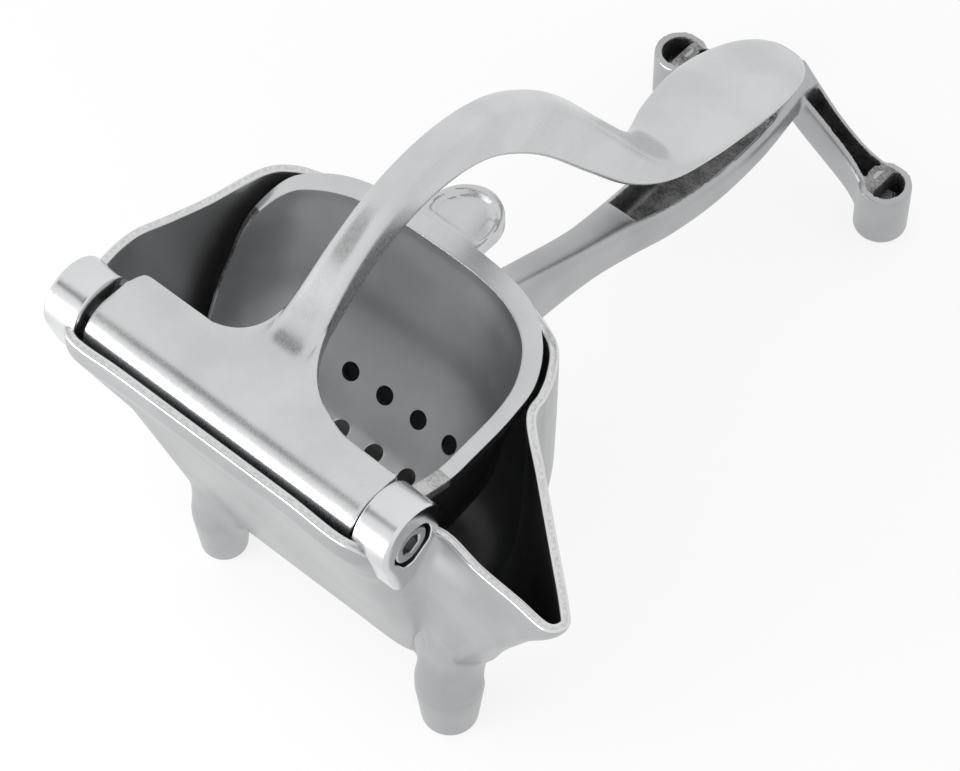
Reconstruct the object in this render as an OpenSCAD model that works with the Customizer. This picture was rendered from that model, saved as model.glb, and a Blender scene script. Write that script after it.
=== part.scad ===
// Hinged lemon squeezer, closed, standing on its front feet and cross foot.
// X runs along the hinge towards the pouring beak, Y back along the handles, Z up.

/* [Hinge] */
// Height of the hinge line above the table
hinge_h = 106; // [98:1:112]
// Width over the outer faces of the two lugs
hinge_w = 116; // [112:1:120]
// Thickness of one lug
lug_t = 11; // [9.5:0.5:12]
// Radius of the round part of a lug
lug_r = 10.6; // [10:0.25:12]
// Radius of the small round tail below a lug
tail_r = 4.4; // [3.5:0.1:5]
// Radius of the barrel that turns between the lugs
barrel_r = 9.5; // [8.5:0.25:10]
// Side gap between the barrel and each lug
barrel_end_gap = 1.5; // [1:0.25:2.5]
// Gap between the barrel and the front wall
barrel_front_gap = 1.1; // [0.8:0.1:1.6]
// Diameter of the steel hinge shaft
shaft_d = 8; // [7:0.5:9]
// Radial running clearance of the shaft in its bores
shaft_clear = 0.05; // [0.02:0.01:0.09]

/* [Screws] */
// Head diameter of the socket screws
head_d = 11.4; // [10.5:0.2:12]
// Head height of the socket screws
head_h = 4.6; // [4:0.2:5]
// Across flats of the hexagon socket
socket_af = 5.5; // [5:0.25:6.5]
// Depth of the hexagon socket
socket_depth = 3; // [2:0.25:3.5]
// Thread diameter of the screws
thread_d = 5; // [4:0.25:5.5]
// Length of the thread below the head
thread_len = 12; // [9:1:16]
// Radial gap round a screw head in its counterbore
head_gap = 0.9; // [0.6:0.1:1.1]
// How far a screw head lies below the face of its lug
head_sink = 0.6; // [0.3:0.1:1]

/* [Trough] */
// Thickness of the cast walls
wall = 2.6; // [2.2:0.1:3]
// Width of the trough across its rounded back
body_w = 108; // [106:0.5:110]
// Distance from the hinge line to the outside of the back wall
body_back = 79.5; // [78:0.5:84]
// Height of the underside of the trough above the table
floor_h = 20; // [17:0.5:24]
// Distance from the middle plane to the tip of the beak
beak_reach = 100.8; // [95:0.2:104]
// Distance of the beak tip behind the hinge line
beak_back = 9; // [8:0.5:12]
// Height of the front rim above the hinge line
front_rise = 5; // [3:0.5:6]
// Height of the left rim above the hinge line, at its lug
side_rise = 8; // [5:0.5:9]

/* [Front feet] */
// Distance of the left foot from the middle plane
foot_left = 29.5; // [27:0.5:32]
// Distance of the foot under the beak from the middle plane
foot_right = 53.5; // [51:0.5:55]
// Distance of the front feet behind the hinge line
foot_back = 17.5; // [16:0.5:19]
// Radius of the left foot at the table
foot_left_r = 6.4; // [5.5:0.1:7.5]
// Radius of the foot under the beak at the table
foot_right_r = 7.6; // [6.5:0.1:8.4]
// Rounding of the lower edge of the front feet
foot_round = 2; // [1:0.25:3]

/* [Strainer] */
// Inside width of the strainer at its rim
cup_w = 94.4; // [92:0.4:95.6]
// Distance from the hinge line to the inside of the strainer's back
cup_back = 73; // [71:0.5:74]
// Depth of the strainer below its rim
cup_depth = 57; // [54:1:62]
// Thickness of the strainer's walls
cup_wall = 2.2; // [1.8:0.1:2.4]
// Thickness of the flat rim
rim_t = 3.5; // [3:0.25:4]
// Width of the flat rim on the side of the beak
rim_side = 4.4; // [3.6:0.2:4.6]
// Gap between the rim and its seat on the trough
seat_gap = 0.3; // [0.2:0.05:0.5]
// Diameter of the drain holes
hole_d = 5.4; // [4:0.2:6]
// Distance between the drain holes of a row
hole_pitch = 12; // [10:0.5:13]
// Width of the thumb tab
tab_w = 21; // [18:0.5:24]
// Length of the thumb tab past the rim
tab_len = 16; // [14:0.5:20]
// Depth of the dish in the thumb tab
tab_dish = 1.3; // [0.8:0.1:1.8]

/* [Lever] */
// Thickness of the flange on the barrel
flange_t = 4.5; // [3.5:0.25:5.5]
// Depth of the flange behind the hinge line, on the left
flange_left = 13; // [11.5:0.5:15]
// Depth of the flange behind the hinge line, on the side of the beak
flange_right = 8.6; // [7:0.2:11]
// Height of the lever's arch above the hinge line
arch_rise = 41; // [37:0.5:45]
// Distance from the hinge line to the end of the thumb spoon
lever_len = 227; // [218:1:232]
// Width of the lever along its arch
arm_w = 9.6; // [8.5:0.2:11]
// Depth of the lever at the top of its arch
arm_deep = 15.5; // [13:0.5:18]
// Width of the thumb spoon
spoon_w = 30; // [26:0.5:32]
// Height of the thumb spoon's rim above the table
spoon_h = 58; // [54:1:60]
// Thickness of the press jaw
jaw_t = 4.5; // [3.5:0.25:5.5]
// Width of the press jaw
jaw_w = 74; // [66:1:76]
// Angle of the closed press jaw below the level
jaw_angle = 62; // [58:1:66]

/* [Base handle and cross foot] */
// Distance from the hinge line to the pads of the cross foot
cross_back = 226; // [220:1:234]
// Distance between the two pads of the cross foot
pad_span = 76.4; // [70:1:84]
// Radius of a pad
pad_r = 8; // [7:0.25:9]
// Height of the top of a pad
pad_h = 19; // [17:0.5:21]
// Height of the top of the cross foot's ridge
ridge_h = 38; // [35:0.5:40]
// Width of a leg of the cross foot
leg_w = 10; // [9:0.25:12]
// Width of the slim stretch of the base handle
handle_w = 11; // [10:0.25:13]
// Width of the wide stretch of the base handle
handle_wide = 20; // [18:0.5:23]
// Thickness of the walls round the pocket and the channels
web = 2.4; // [2:0.1:2.8]

/* [Hidden] */

// Facets of the round surfaces
$fn = 64;
// Points between two control points of a ring
ring_steps = 3;
// Points round a section of a lever or handle
section_steps = 20;
// Overrun of the cuts
over = wall / 2;

lug_in = hinge_w / 2 - lug_t;
lug_up = 0.22 * lug_r;
barrel_half = lug_in - barrel_end_gap;
bore_r = shaft_d / 2 + shaft_clear;
head_bore_r = head_d / 2 + head_gap;
head_bore_depth = head_h + head_sink;
shaft_half = hinge_w / 2 - head_bore_depth;
half_w = body_w / 2;
front_half = hinge_w / 2 - 4 / 11 * lug_t;
ridge_y = cross_back + 0.3 * leg_w;

// Linear blend of two values or points
function mix(a, b, t) = a + (b - a) * t;

// Smooth curve through b and c, with a and d as neighbours
function spline(a, b, c, d, t) =
    (2 * b + (c - a) * t + (2 * a - 5 * b + 4 * c - d) * t * t
        + (3 * b - a - 3 * c + d) * t * t * t) / 2;

// Place u along a closed list of points, one unit per point
function on_ring(pts, u) =
    let (n = len(pts), i = floor(u) % n)
    spline(pts[(i + n - 1) % n], pts[i], pts[(i + 1) % n], pts[(i + 2) % n], u - floor(u));

// Place u along an open list of points
function on_path(pts, u) =
    let (n = len(pts), i = min(floor(u), n - 2))
    spline(pts[max(i - 1, 0)], pts[i], pts[i + 1], pts[min(i + 2, n - 1)], u - i);

// Height of a squared arch of unit size at share s of its half width
function arch(s, power) = pow(1 - pow(min(abs(s), 1), power), 1 / power);

// A point of a closed curve at height z, drawn in along the curve's normal
function ring_point(ring, u, z, inset) =
    let (
        eps = 0.6,
        p = on_ring(ring, u),
        d = on_ring(ring, u + eps) - on_ring(ring, u + len(ring) - eps),
        n = [-d[1], d[0]] / norm(d)
    )
    [p[0] + inset * n[0], p[1] + inset * n[1], z];

// Trough: plan outline at each height

front_y = barrel_r + barrel_front_gap + wall;
arch_centre = 40 / 79.5 * body_back;
arch_power = 3;
seat_h = hinge_h - rim_t - seat_gap;
tip_r = 1.8 * wall;

// Shares of the sizes at shares of the hinge's height
half_shares = [[0, 0.74], [0.19, 0.80], [0.28, 0.90], [0.42, 0.955], [0.57, 0.985], [1, 1]];
back_shares = [[0, 0.66], [0.19, 0.72], [0.26, 0.84], [0.34, 0.92], [0.44, 0.975], [0.58, 1], [1, 1]];
left_shares = [[0, 0.76], [0.19, 0.80], [0.42, 0.88], [0.57, 0.92], [0.8, 1], [1, 1.075]];
corner_shares = [[0, 0.72], [0.83, 0.72], [0.91, 0.963], [1.03, 0.963]];
right_shares = [[0, 0.74], [0.19, 0.76], [0.42, 0.82], [0.8, 0.92], [0.9, 0.985], [1, 0.985]];
tip_shares = [[0, 0.575], [0.19, 0.59], [0.38, 0.67], [0.57, 0.755], [0.75, 0.86], [0.98, 1], [1.2, 1.02]];
tip_back_shares = [[0, 0.36], [0.19, 0.355], [0.38, 0.265], [0.57, 0.20], [0.75, 0.17], [1, 0.126]];
cheek_out_shares = [[0.19, 0.05], [0.57, 0.14]];
cheek_shares = [[0, 0.02], [0.34, 0.04], [0.57, 0.08], [0.85, 0.145], [1, 0.21]];
front_shares = [[0, 21 / 79.5], [0.19, 15 / 79.5], [0.915, -9.8 / 79.5]];

function front_at(z) =
    let (low = body_back * lookup(z / hinge_h, front_shares))
    z < 0.915 * hinge_h ? low : mix(-0.76 * front_y, -front_y, min((z / hinge_h - 0.915) / 0.07, 1));

function trough_ring(z) =
    let (
        s = z / hinge_h,
        half = half_w * lookup(s, half_shares),
        left = front_half * lookup(s, left_shares),
        corner = front_half * lookup(s, corner_shares),
        right = front_half * lookup(s, right_shares),
        back = body_back * lookup(s, back_shares),
        depth = back - arch_centre * lookup(s, half_shares),
        fy = front_at(z),
        tip = [beak_reach * lookup(s, tip_shares),
            beak_back + body_back * (lookup(s, tip_back_shares) - 0.126)],
        cheek = [right + half_w * lookup(s, cheek_out_shares), fy + body_back * lookup(s, cheek_shares)],
        r = tip_r * max(1, 2.1 - 1.3 * s),
        tip_front = tip + [-0.75 * r, -r],
        tip_rear = tip + [-0.85 * r, 1.05 * r],
        waist = [1.03 * half, 0.61 * back],
        shoulder = [-0.995 * half, back - 0.88 * depth],
        jowl = [-left, mix(fy, shoulder[1], 0.58)],
        corner_end = [-corner, fy + 0.11 * half_w]
    )
    [
        [-corner + 0.11 * half_w, fy],
        [-0.55 * corner, fy],
        [0, fy],
        [0.5 * right, fy],
        [right - 0.09 * half_w, fy],
        mix([right, fy], cheek, 0.38),
        cheek,
        mix(cheek, tip_front, 0.4),
        mix(cheek, tip_front, 0.72),
        tip_front,
        tip,
        tip_rear,
        mix(tip_rear, waist, 0.33),
        mix(tip_rear, waist, 0.7),
        waist,
        [0.99 * half, back - 0.61 * depth],
        for (x = [0.94, 0.84, 0.68, 0.44, 0.15, -0.15, -0.44, -0.68, -0.84, -0.94])
            [x * half, back - depth + depth * arch(x, arch_power)],
        shoulder,
        mix(shoulder, jowl, 0.5),
        jowl,
        mix(jowl, corner_end, 0.5) - [0.02 * half_w, 0],
        corner_end
    ];

// Height of the rim above each control point
front_rim = hinge_h + front_rise;
beak_rim = hinge_h - 1.3 * wall;
rim_heights = [
    front_rim, front_rim, front_rim, front_rim, front_rim,
    beak_rim, beak_rim - 0.7 * wall, beak_rim - 0.6 * wall, beak_rim - 0.2 * wall,
    beak_rim, beak_rim, beak_rim, beak_rim + 0.3 * wall, hinge_h - 0.6 * wall,
    hinge_h, hinge_h, hinge_h, hinge_h - 0.3 * rim_t,
    seat_h, seat_h, seat_h, seat_h, seat_h, seat_h,
    hinge_h - 0.3 * rim_t, hinge_h,
    hinge_h + 0.2 * side_rise, hinge_h + 0.5 * side_rise,
    hinge_h + 0.8 * side_rise, hinge_h + side_rise, front_rim
];
ring_count = len(rim_heights);
trough_us = [for (i = [0 : ring_count - 1], k = [0 : ring_steps - 1]) i + k / ring_steps];

function rim_z(u) =
    let (i = floor(u) % ring_count)
    mix(rim_heights[i], rim_heights[(i + 1) % ring_count], u - floor(u));

function trough_point(u, z, inset) = ring_point(trough_ring(z), u, z, inset);

// A ring of the trough's wall at share s of the hinge's height, kept below the rim
function wall_ring(s, lowest, inset) =
    [for (u = trough_us) trough_point(u, min(max(s * hinge_h, lowest), rim_z(u) - 0.6 * wall), inset)];

// A ring of the trough's floor, drawn towards its middle
function floor_ring(z, inset, share) =
    [for (u = trough_us) let (p = trough_point(u, z, inset)) mix(p, concat(floor_centre, z), share)];

outer_shares = [0.225, 0.31, 0.41, 0.52, 0.64, 0.76, 0.86, 0.925, 0.985];
inner_shares = [0.985, 0.925, 0.86, 0.76, 0.64, 0.52, 0.41, 0.32];
inner_floor = floor_h + 1.4 * wall;
floor_centre = [0.1 * half_w, 0.45 * body_back];

// The trough as one closed skin: outside rings, rim, inside rings
trough_rings = concat(
    [floor_ring(floor_h, 0, 0.12)],
    [floor_ring(floor_h + 0.8 * wall, 0, 0.03)],
    [for (s = outer_shares) wall_ring(s, floor_h + 1.6 * wall, 0)],
    [[for (u = trough_us) trough_point(u, rim_z(u) - 0.25 * wall, 0)]],
    [[for (u = trough_us) trough_point(u, rim_z(u), 0.22 * wall)]],
    [[for (u = trough_us) trough_point(u, rim_z(u), 0.78 * wall)]],
    [[for (u = trough_us) trough_point(u, rim_z(u) - 0.25 * wall, wall)]],
    [for (s = inner_shares) wall_ring(s, inner_floor + wall, wall)],
    [floor_ring(inner_floor + 0.3 * wall, wall, 0.03)],
    [floor_ring(inner_floor, wall, 0.12)]
);

// Closed skin of a stack of rings that run to the right seen from above, with a fan at each end
module skin(rings, first, last) {
    n = len(rings[0]);
    m = len(rings);
    points = concat([for (r = rings) each r], [first, last]);
    sides = [for (j = [0 : m - 2], i = [0 : n - 1])
        let (a = j * n + i, b = j * n + (i + 1) % n)
        each [[a, b + n, b], [a, a + n, b + n]]];
    ends = [for (i = [0 : n - 1])
        let (k = (i + 1) % n)
        each [[m * n, i, k], [m * n + 1, (m - 1) * n + k, (m - 1) * n + i]]];
    polyhedron(points, concat(sides, ends), convexity = 8);
}

// A round lug with a small round tail that leans with the front wall
tail_at = [-0.27 * lug_r, -1.17 * lug_r];

module lug(side) {
    x0 = side > 0 ? lug_in : -hinge_w / 2;
    d = norm(tail_at);
    lean = atan2(tail_at[1], tail_at[0]);
    open = acos((lug_r - tail_r) / d);
    slim = 0.96; // share of the radii at which the flanks join them
    rims = [for (a = [lean - open, lean + open]) [cos(a), sin(a)]];
    translate([x0, 0, hinge_h + lug_up]) rotate([90, 0, 90]) {
        cylinder(r = lug_r, h = lug_t);
        translate(tail_at) cylinder(r = tail_r, h = lug_t);
        linear_extrude(lug_t) polygon([
            slim * lug_r * rims[0],
            tail_at + slim * tail_r * rims[0],
            tail_at + slim * tail_r * rims[1],
            slim * lug_r * rims[1]
        ]);
    }
}

// A tapered foot that runs up into the corner of the trough
module front_foot(x, r, top) {
    grow = 0.11;
    translate([x, foot_back]) rotate_extrude() polygon([
        [0, 0],
        [r - foot_round, 0],
        for (a = [15 : 15 : 90])
            [r - foot_round + foot_round * sin(a), foot_round - foot_round * cos(a)],
        [r + grow * top, top],
        [0, top]
    ]);
}

// Handle and lever sections

// Squared ring of a section: across x, up z, in a plane tilted by a
function section(y, z, half, deep, a, power) = [
    for (k = [section_steps - 1 : -1 : 0])
        let (
            t = 360 * (k + 0.5) / section_steps,
            px = half * sign(cos(t)) * pow(abs(cos(t)), 2 / power),
            pt = deep * sign(sin(t)) * pow(abs(sin(t)), 2 / power)
        )
        [px, y - pt * sin(a), z + pt * cos(a)]
];

function ring_centre(r) = [for (k = [0 : 2]) ([for (p = r) 1] * [for (p = r) p[k]]) / len(r)];

module sweep(rings) {
    skin(rings, ring_centre(rings[0]), ring_centre(rings[len(rings) - 1]));
}

// Base handle stations: share of the way from the root to the cross foot,
// heights of the top and the underside as shares of the ridge, width share
root_y = body_back + 0.6 * leg_w;
handle_shares = [
    [-0.06, 1.84, 0.96, 0.10], [0, 1.80, 0.98, 0.05], [0.09, 1.69, 1.0, 0.01],
    [0.2, 1.52, 0.99, 0], [0.33, 1.32, 0.92, 0.03], [0.44, 1.2, 0.82, 0.3],
    [0.55, 1.08, 0.72, 0.72], [0.68, 1, 0.66, 0.98], [0.81, 0.98, 0.67, 1],
    [0.915, 0.98, 0.7, 0.7], [1, 0.98, 0.74, 0.3]
];
handle_split = 8;

function handle_y(share) = mix(root_y, ridge_y, share);

function handle_ring(s) =
    let (top = s[1] * ridge_h, low = s[2] * ridge_h)
    section(handle_y(s[0]), (top + low) / 2, mix(handle_w, handle_wide, s[3]) / 2, (top - low) / 2, 0, 4);

function handle_rings(from, to, step) = [for (u = [from : step : to]) handle_ring(on_path(handle_shares, u))];

// Inner end of the handle's root, half way through the back wall
root_ring = [for (p = handle_ring(handle_shares[0]))
    [p[0], body_back * lookup(p[2] / hinge_h, back_shares) - 0.4 * wall, p[2]]];

// Pocket in the wide stretch of the handle, open at the top
pocket_from = 5.2;
pocket_to = handle_split + 0.6;
function pocket_ring(s, close) =
    let (top = s[1] * ridge_h + over, low = s[2] * ridge_h + 1.2 * web + close * leg_w / 2)
    section(handle_y(s[0]), (top + low) / 2,
        mix(handle_w, handle_wide, s[3]) / 2 - web, (top - low) / 2, 0, 4);

// Leg stations: share of the way to the pad, top, underside, width
leg_shares = [
    [0, 1, 0.7, 1.3], [0.22, 0.9, 0.5, 1.02], [0.45, 0.76, 0.36, 0.9],
    [0.7, 0.63, 0.24, 0.95], [0.88, 0.55, 0.14, 1.25], [1, 0.52, 0.08, 1.5]
];

// A ring of the leg on one side, drawn in for its channel
function leg_ring(s, side, inset, lift) =
    let (
        top = s[1] * ridge_h + lift,
        low = s[2] * ridge_h + 1.2 * inset,
        half = s[3] * leg_w / 2 - inset,
        x = side * s[0] * pad_span / 2,
        y = mix(ridge_y, cross_back, s[0])
    )
    [for (k = [0 : section_steps - 1])
        let (t = side * 360 * (k + 0.5) / section_steps)
        [x, y + half * sign(cos(t)) * pow(abs(cos(t)), 0.5),
            (top + low) / 2 + (top - low) / 2 * sign(sin(t)) * pow(abs(sin(t)), 0.5)]];

// Lever stations: distance from the hinge as a share of the lever's length,
// height of the middle line, half width, half depth, tilt, squareness
function arch_z(s) = hinge_h + s * arch_rise;
arm_half = arm_w / 2;
arm_stations = [
    [0.035, arch_z(0.135), 1.9 * arm_half, 0.26 * arm_deep / 2 + flange_t / 4, 18, 4],
    [0.085, arch_z(0.235), 1.35 * arm_half, 0.40 * arm_deep / 2, 34, 4],
    [0.125, arch_z(0.37), 1.12 * arm_half, 0.52 * arm_deep / 2, 42, 4],
    [0.19, arch_z(0.61), arm_half, 0.74 * arm_deep / 2, 37, 4],
    [0.26, arch_z(0.77), arm_half, 0.94 * arm_deep / 2, 25, 4],
    [0.335, arch_z(0.805), arm_half, arm_deep / 2, 2, 4],
    [0.405, arch_z(0.70), arm_half, 1.05 * arm_deep / 2, -22, 4],
    [0.465, arch_z(0.47), 1.05 * arm_half, 1.04 * arm_deep / 2, -38, 4],
    [0.525, arch_z(0.13), 1.15 * arm_half, arm_deep / 2, -47, 4],
    [0.60, arch_z(-0.43), 1.35 * arm_half, 0.92 * arm_deep / 2, -49, 3.4],
    [0.665, arch_z(-0.90), 1.65 * arm_half, 0.82 * arm_deep / 2, -44, 3],
    [0.72, mix(arch_z(-1.13), spoon_h, 0.5), 0.33 * spoon_w, 0.68 * arm_deep / 2, -22, 2.6],
    [0.77, spoon_h + 0.02 * arm_deep, 0.44 * spoon_w, 0.56 * arm_deep / 2, -2, 2.3],
    [0.83, spoon_h, spoon_w / 2, 0.5 * arm_deep / 2, -4, 2.2],
    [0.885, spoon_h - 0.14 * arm_deep, spoon_w / 2, 0.44 * arm_deep / 2, -10, 2.2],
    [0.94, spoon_h - 0.36 * arm_deep, 0.43 * spoon_w, 0.36 * arm_deep / 2, -16, 2.2],
    [0.975, spoon_h - 0.54 * arm_deep, 0.32 * spoon_w, 0.28 * arm_deep / 2, -20, 2.2],
    [0.993, spoon_h - 0.64 * arm_deep, 0.19 * spoon_w, 0.18 * arm_deep / 2, -20, 2.2]
];

function arm_ring(s) = section(s[0] * lever_len, s[1], s[2], s[3], s[4], s[5]);
function arm_rings(from, to, step) = [for (u = [from : step : to]) arm_ring(on_path(arm_stations, u))];
arm_split = 2;
spoon_end = [0, lever_len, arm_stations[len(arm_stations) - 1][1] - 0.12 * arm_deep];

// Strainer: plan outline at each share t of its depth, zero at the rim
cup_half = cup_w / 2;
cup_half_shares = [[0, 1], [0.16, 0.985], [0.55, 0.93], [0.79, 0.8], [0.94, 0.64], [1, 0.5]];
cup_back_shares = [[0, 1], [0.16, 0.955], [0.4, 0.885], [0.55, 0.845], [0.79, 0.73], [0.94, 0.6], [1, 0.5]];
cup_gap = 0.6 * wall;
jaw_len = (cup_depth - seat_gap - jaw_t / 2 * cos(jaw_angle)) / sin(jaw_angle);

function cup_ring(z) =
    let (
        t = (hinge_h - z) / cup_depth,
        half = cup_half * lookup(t, cup_half_shares),
        back = cup_back * lookup(t, cup_back_shares),
        fy = max(front_at(z), front_at(0.9 * hinge_h)) + wall + cup_gap + cup_wall,
        centre = mix(fy, back, 0.42),
        depth = back - centre,
        side = min(half, 0.93 * cup_half * front_half / half_w)
    )
    [
        [-0.58 * side, fy],
        [-0.3 * side, fy],
        [0, fy],
        [0.45 * side, fy],
        [0.8 * side, fy],
        [0.97 * side, fy + 0.05 * cup_half],
        [side, mix(fy, centre, 0.31)],
        [mix(side, half, 0.5), mix(fy, centre, 0.49)],
        [half, mix(fy, centre, 0.76)],
        [half, centre],
        for (x = [0.985, 0.93, 0.8, 0.6, 0.35, 0, -0.35, -0.6, -0.8, -0.93, -0.985])
            [x * half, back - depth + depth * arch(x, arch_power)],
        [-half, centre],
        [-mix(side, half, 0.75), mix(fy, centre, 0.7)],
        [-0.89 * side, mix(fy, centre, 0.36)],
        [-0.74 * side, fy + 0.05 * cup_half]
    ];

// Edge of the strainer above each control point: its height, the width of its
// flat rim and how far its outer corner is cut down
cup_front_h = hinge_h - 1.45 * barrel_r;
rim_back = body_back - cup_back - seat_gap;
cup_edges = [
    for (k = [0 : 4]) [cup_front_h, cup_wall, 0],
    [cup_front_h, cup_wall, 0],
    [cup_front_h, cup_wall, 0],
    [hinge_h, rim_side, 0],
    [hinge_h, rim_side, 0],
    [hinge_h, rim_side, 0],
    [hinge_h, rim_side, 0],
    [hinge_h, mix(rim_side, rim_back, 0.45), 0],
    [hinge_h, 0.88 * rim_back, 0],
    [hinge_h, 1.03 * rim_back, 0],
    for (k = [0 : 2]) [hinge_h, rim_back, 0],
    [hinge_h, 1.03 * rim_back, 0],
    [hinge_h, 0.86 * rim_back, 0],
    [hinge_h - 0.45 * barrel_r, 0.5 * rim_back, 0.3 * rim_t],
    [hinge_h - 1.95 * barrel_r, cup_wall, 0.8 * rim_t],
    [hinge_h - 3.7 * barrel_r, cup_wall, 0.8 * rim_t],
    [hinge_h - 3.5 * barrel_r, cup_wall, 0.8 * rim_t],
    [hinge_h - 2.7 * barrel_r, cup_wall, 0.5 * rim_t],
    [cup_front_h, cup_wall, 0]
];
cup_count = len(cup_edges);
cup_us = [for (i = [0 : cup_count - 1], k = [0 : ring_steps - 1]) i + k / ring_steps];

function cup_edge(u) =
    let (i = floor(u) % cup_count)
    mix(cup_edges[i], cup_edges[(i + 1) % cup_count], u - floor(u));

function cup_point(u, z, grow) = ring_point(cup_ring(z), u, z, -grow);
cup_floor = hinge_h - cup_depth;
cup_low = hinge_h - 0.7 * cup_depth;
cup_centre = [0, 0.42 * cup_back];

// A ring of the strainer between its edge and its lower part, share t down, lift above it
function cup_wall_ring(t, grow, drop) = [for (u = cup_us)
    let (z = mix(cup_edge(u)[0] - drop, cup_low, t)) cup_point(u, z, grow)];
function cup_floor_ring(z, grow) = [for (u = cup_us)
    mix(cup_point(u, z + grow, grow), concat(cup_centre, z), 0.15)];

// The strainer as one closed skin: outside rings, edge, inside rings
cup_rings = concat(
    [cup_floor_ring(cup_floor - cup_wall, cup_wall)],
    [for (t = [0.96, 0.88, 0.79]) [for (u = cup_us) cup_point(u, hinge_h - t * cup_depth, cup_wall)]],
    [for (t = [1, 0.5]) cup_wall_ring(t, cup_wall, rim_t)],
    [cup_wall_ring(0, cup_wall, 1.1 * rim_t)],
    [for (d = [1, 0]) [for (u = cup_us)
        let (e = cup_edge(u), z = e[0] - d * rim_t - e[2]) cup_point(u, z, e[1])]],
    [for (t = [0, 0.35, 0.7, 1]) cup_wall_ring(t, 0, 0)],
    [for (t = [0.79, 0.88, 0.96]) [for (u = cup_us) cup_point(u, hinge_h - t * cup_depth, 0)]],
    [cup_floor_ring(cup_floor, 0)]
);

// Drain holes: rows at angles below the level, seen from the hinge line
hole_rows = [[41, -2, 2], [53, -1.5, 1.5], [65, -2, 2], [77, -1.5, 1.5]];

module drain_holes() {
    for (row = hole_rows, k = [row[1] : row[2]])
        translate([k * hole_pitch, 0, hinge_h]) rotate([-90 - row[0], 0, 0])
            translate([0, 0, cup_depth - 3 * cup_wall])
                cylinder(d = hole_d, h = 0.4 * cup_depth, $fn = 20);
}

// Thumb tab with a shallow dish
module thumb_tab() {
    tab_y = body_back + tab_len - tab_w / 2;
    translate([0, 0, hinge_h - rim_t]) difference() {
        union() {
            translate([0, tab_y]) cylinder(d = tab_w, h = rim_t + tab_dish / 2);
            translate([-tab_w / 2, body_back - 0.8 * rim_back]) cube([tab_w, tab_y - body_back + 0.8 * rim_back, rim_t]);
        }
        translate([0, tab_y, rim_t - tab_dish / 2]) cylinder(d = 0.8 * tab_w, h = rim_t);
    }
}

// Limits of the whole part, for its origin
trough_points = [for (r = trough_rings) each r];
part_left = min(min([for (p = trough_points) p[0]]), -hinge_w / 2);
part_right = max([for (p = trough_points) p[0]]);
part_front = min([for (p = trough_points) p[1]]);
part_back = max([for (p = leg_ring(leg_shares[0], 1, 0, 0)) p[1]]);
origin = [(part_left + part_right) / 2, (part_front + part_back) / 2, 0];

// The part stands over the middle of its own outline
module placed() {
    translate(-origin) children();
}

module trough_body() {
    color("silver") placed() difference() {
        union() {
            skin(trough_rings,
                concat(floor_centre, floor_h),
                concat(floor_centre, inner_floor));
            lug(-1);
            lug(1);
            front_foot(-foot_left, foot_left_r, floor_h + 0.4 * wall);
            front_foot(foot_right, foot_right_r, floor_h + 0.4 * wall);
            sweep([root_ring, handle_ring(handle_shares[1])]);
        }
        translate([-hinge_w / 2 - over, 0, hinge_h]) rotate([0, 90, 0])
            cylinder(r = bore_r, h = hinge_w + 2 * over);
        for (side = [-1, 1])
            translate([side * (hinge_w / 2 - head_bore_depth / 2 + over / 2), 0, hinge_h]) rotate([0, 90, 0])
                cylinder(r = head_bore_r, h = head_bore_depth + over, center = true);
    }
}

module handle_pocket() {
    sweep([for (u = [pocket_from : 0.56 : pocket_to])
        pocket_ring(on_path(handle_shares, u), u < pocket_from + 0.1 || u > pocket_to - 0.56 ? 1 : 0)]);
}

module base_handle() {
    color("silver") placed() difference() {
        sweep(handle_rings(1, handle_split, 0.5));
        handle_pocket();
    }
}

module cross_foot() {
    n = len(leg_shares) - 1;
    color("silver") placed() difference() {
        union() {
            sweep(handle_rings(handle_split, len(handle_shares) - 1, 0.5));
            for (side = [-1, 1]) {
                translate([side * pad_span / 2, cross_back]) cylinder(r = pad_r, h = pad_h);
                sweep([for (u = [0 : 0.5 : n]) leg_ring(on_path(leg_shares, u), side, 0, 0)]);
            }
        }
        for (side = [-1, 1]) {
            sweep([for (u = [0.9 : 0.5 : n]) leg_ring(on_path(leg_shares, u), side, web, over)]);
            translate([side * pad_span / 2, cross_back, 0.5 * pad_h])
                cylinder(r = pad_r - web, h = pad_h);
        }
        handle_pocket();
    }
    color("silver") placed() for (side = [-1, 1])
        translate([side * pad_span / 2, cross_back, 0.5 * pad_h - over])
            cylinder(r = 0.36 * pad_r, h = 0.22 * pad_h + over, $fn = 6);
}

module strainer_basket() {
    color("gainsboro") placed() difference() {
        union() {
            skin(cup_rings, concat(cup_centre, cup_floor - cup_wall), concat(cup_centre, cup_floor));
            thumb_tab();
        }
        drain_holes();
    }
}

module lever_hub() {
    color("gainsboro") placed() difference() {
        union() {
            translate([-barrel_half, 0, hinge_h]) rotate([0, 90, 0])
                cylinder(r = barrel_r, h = 2 * barrel_half);
            translate([0, 0, hinge_h + barrel_r - flange_t]) linear_extrude(flange_t) polygon([
                [-barrel_half, 0],
                [barrel_half, 0],
                [barrel_half, flange_right],
                [0.64 * barrel_half, flange_right],
                [0.36 * barrel_half, flange_left],
                [0.22 * barrel_half, 1.17 * flange_left],
                [-0.22 * barrel_half, 1.2 * flange_left],
                [-0.43 * barrel_half, flange_left],
                [-0.96 * barrel_half, flange_left],
                [-barrel_half, 0.6 * flange_left]
            ]);
            sweep(arm_rings(0, arm_split, 0.5));
        }
        translate([-hinge_w / 2, 0, hinge_h]) rotate([0, 90, 0])
            cylinder(r = bore_r, h = hinge_w);
    }
}

module lever_arm() {
    rings = arm_rings(arm_split, len(arm_stations) - 1, 0.5);
    color("gainsboro") placed() skin(rings, ring_centre(rings[0]), spoon_end);
}

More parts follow.
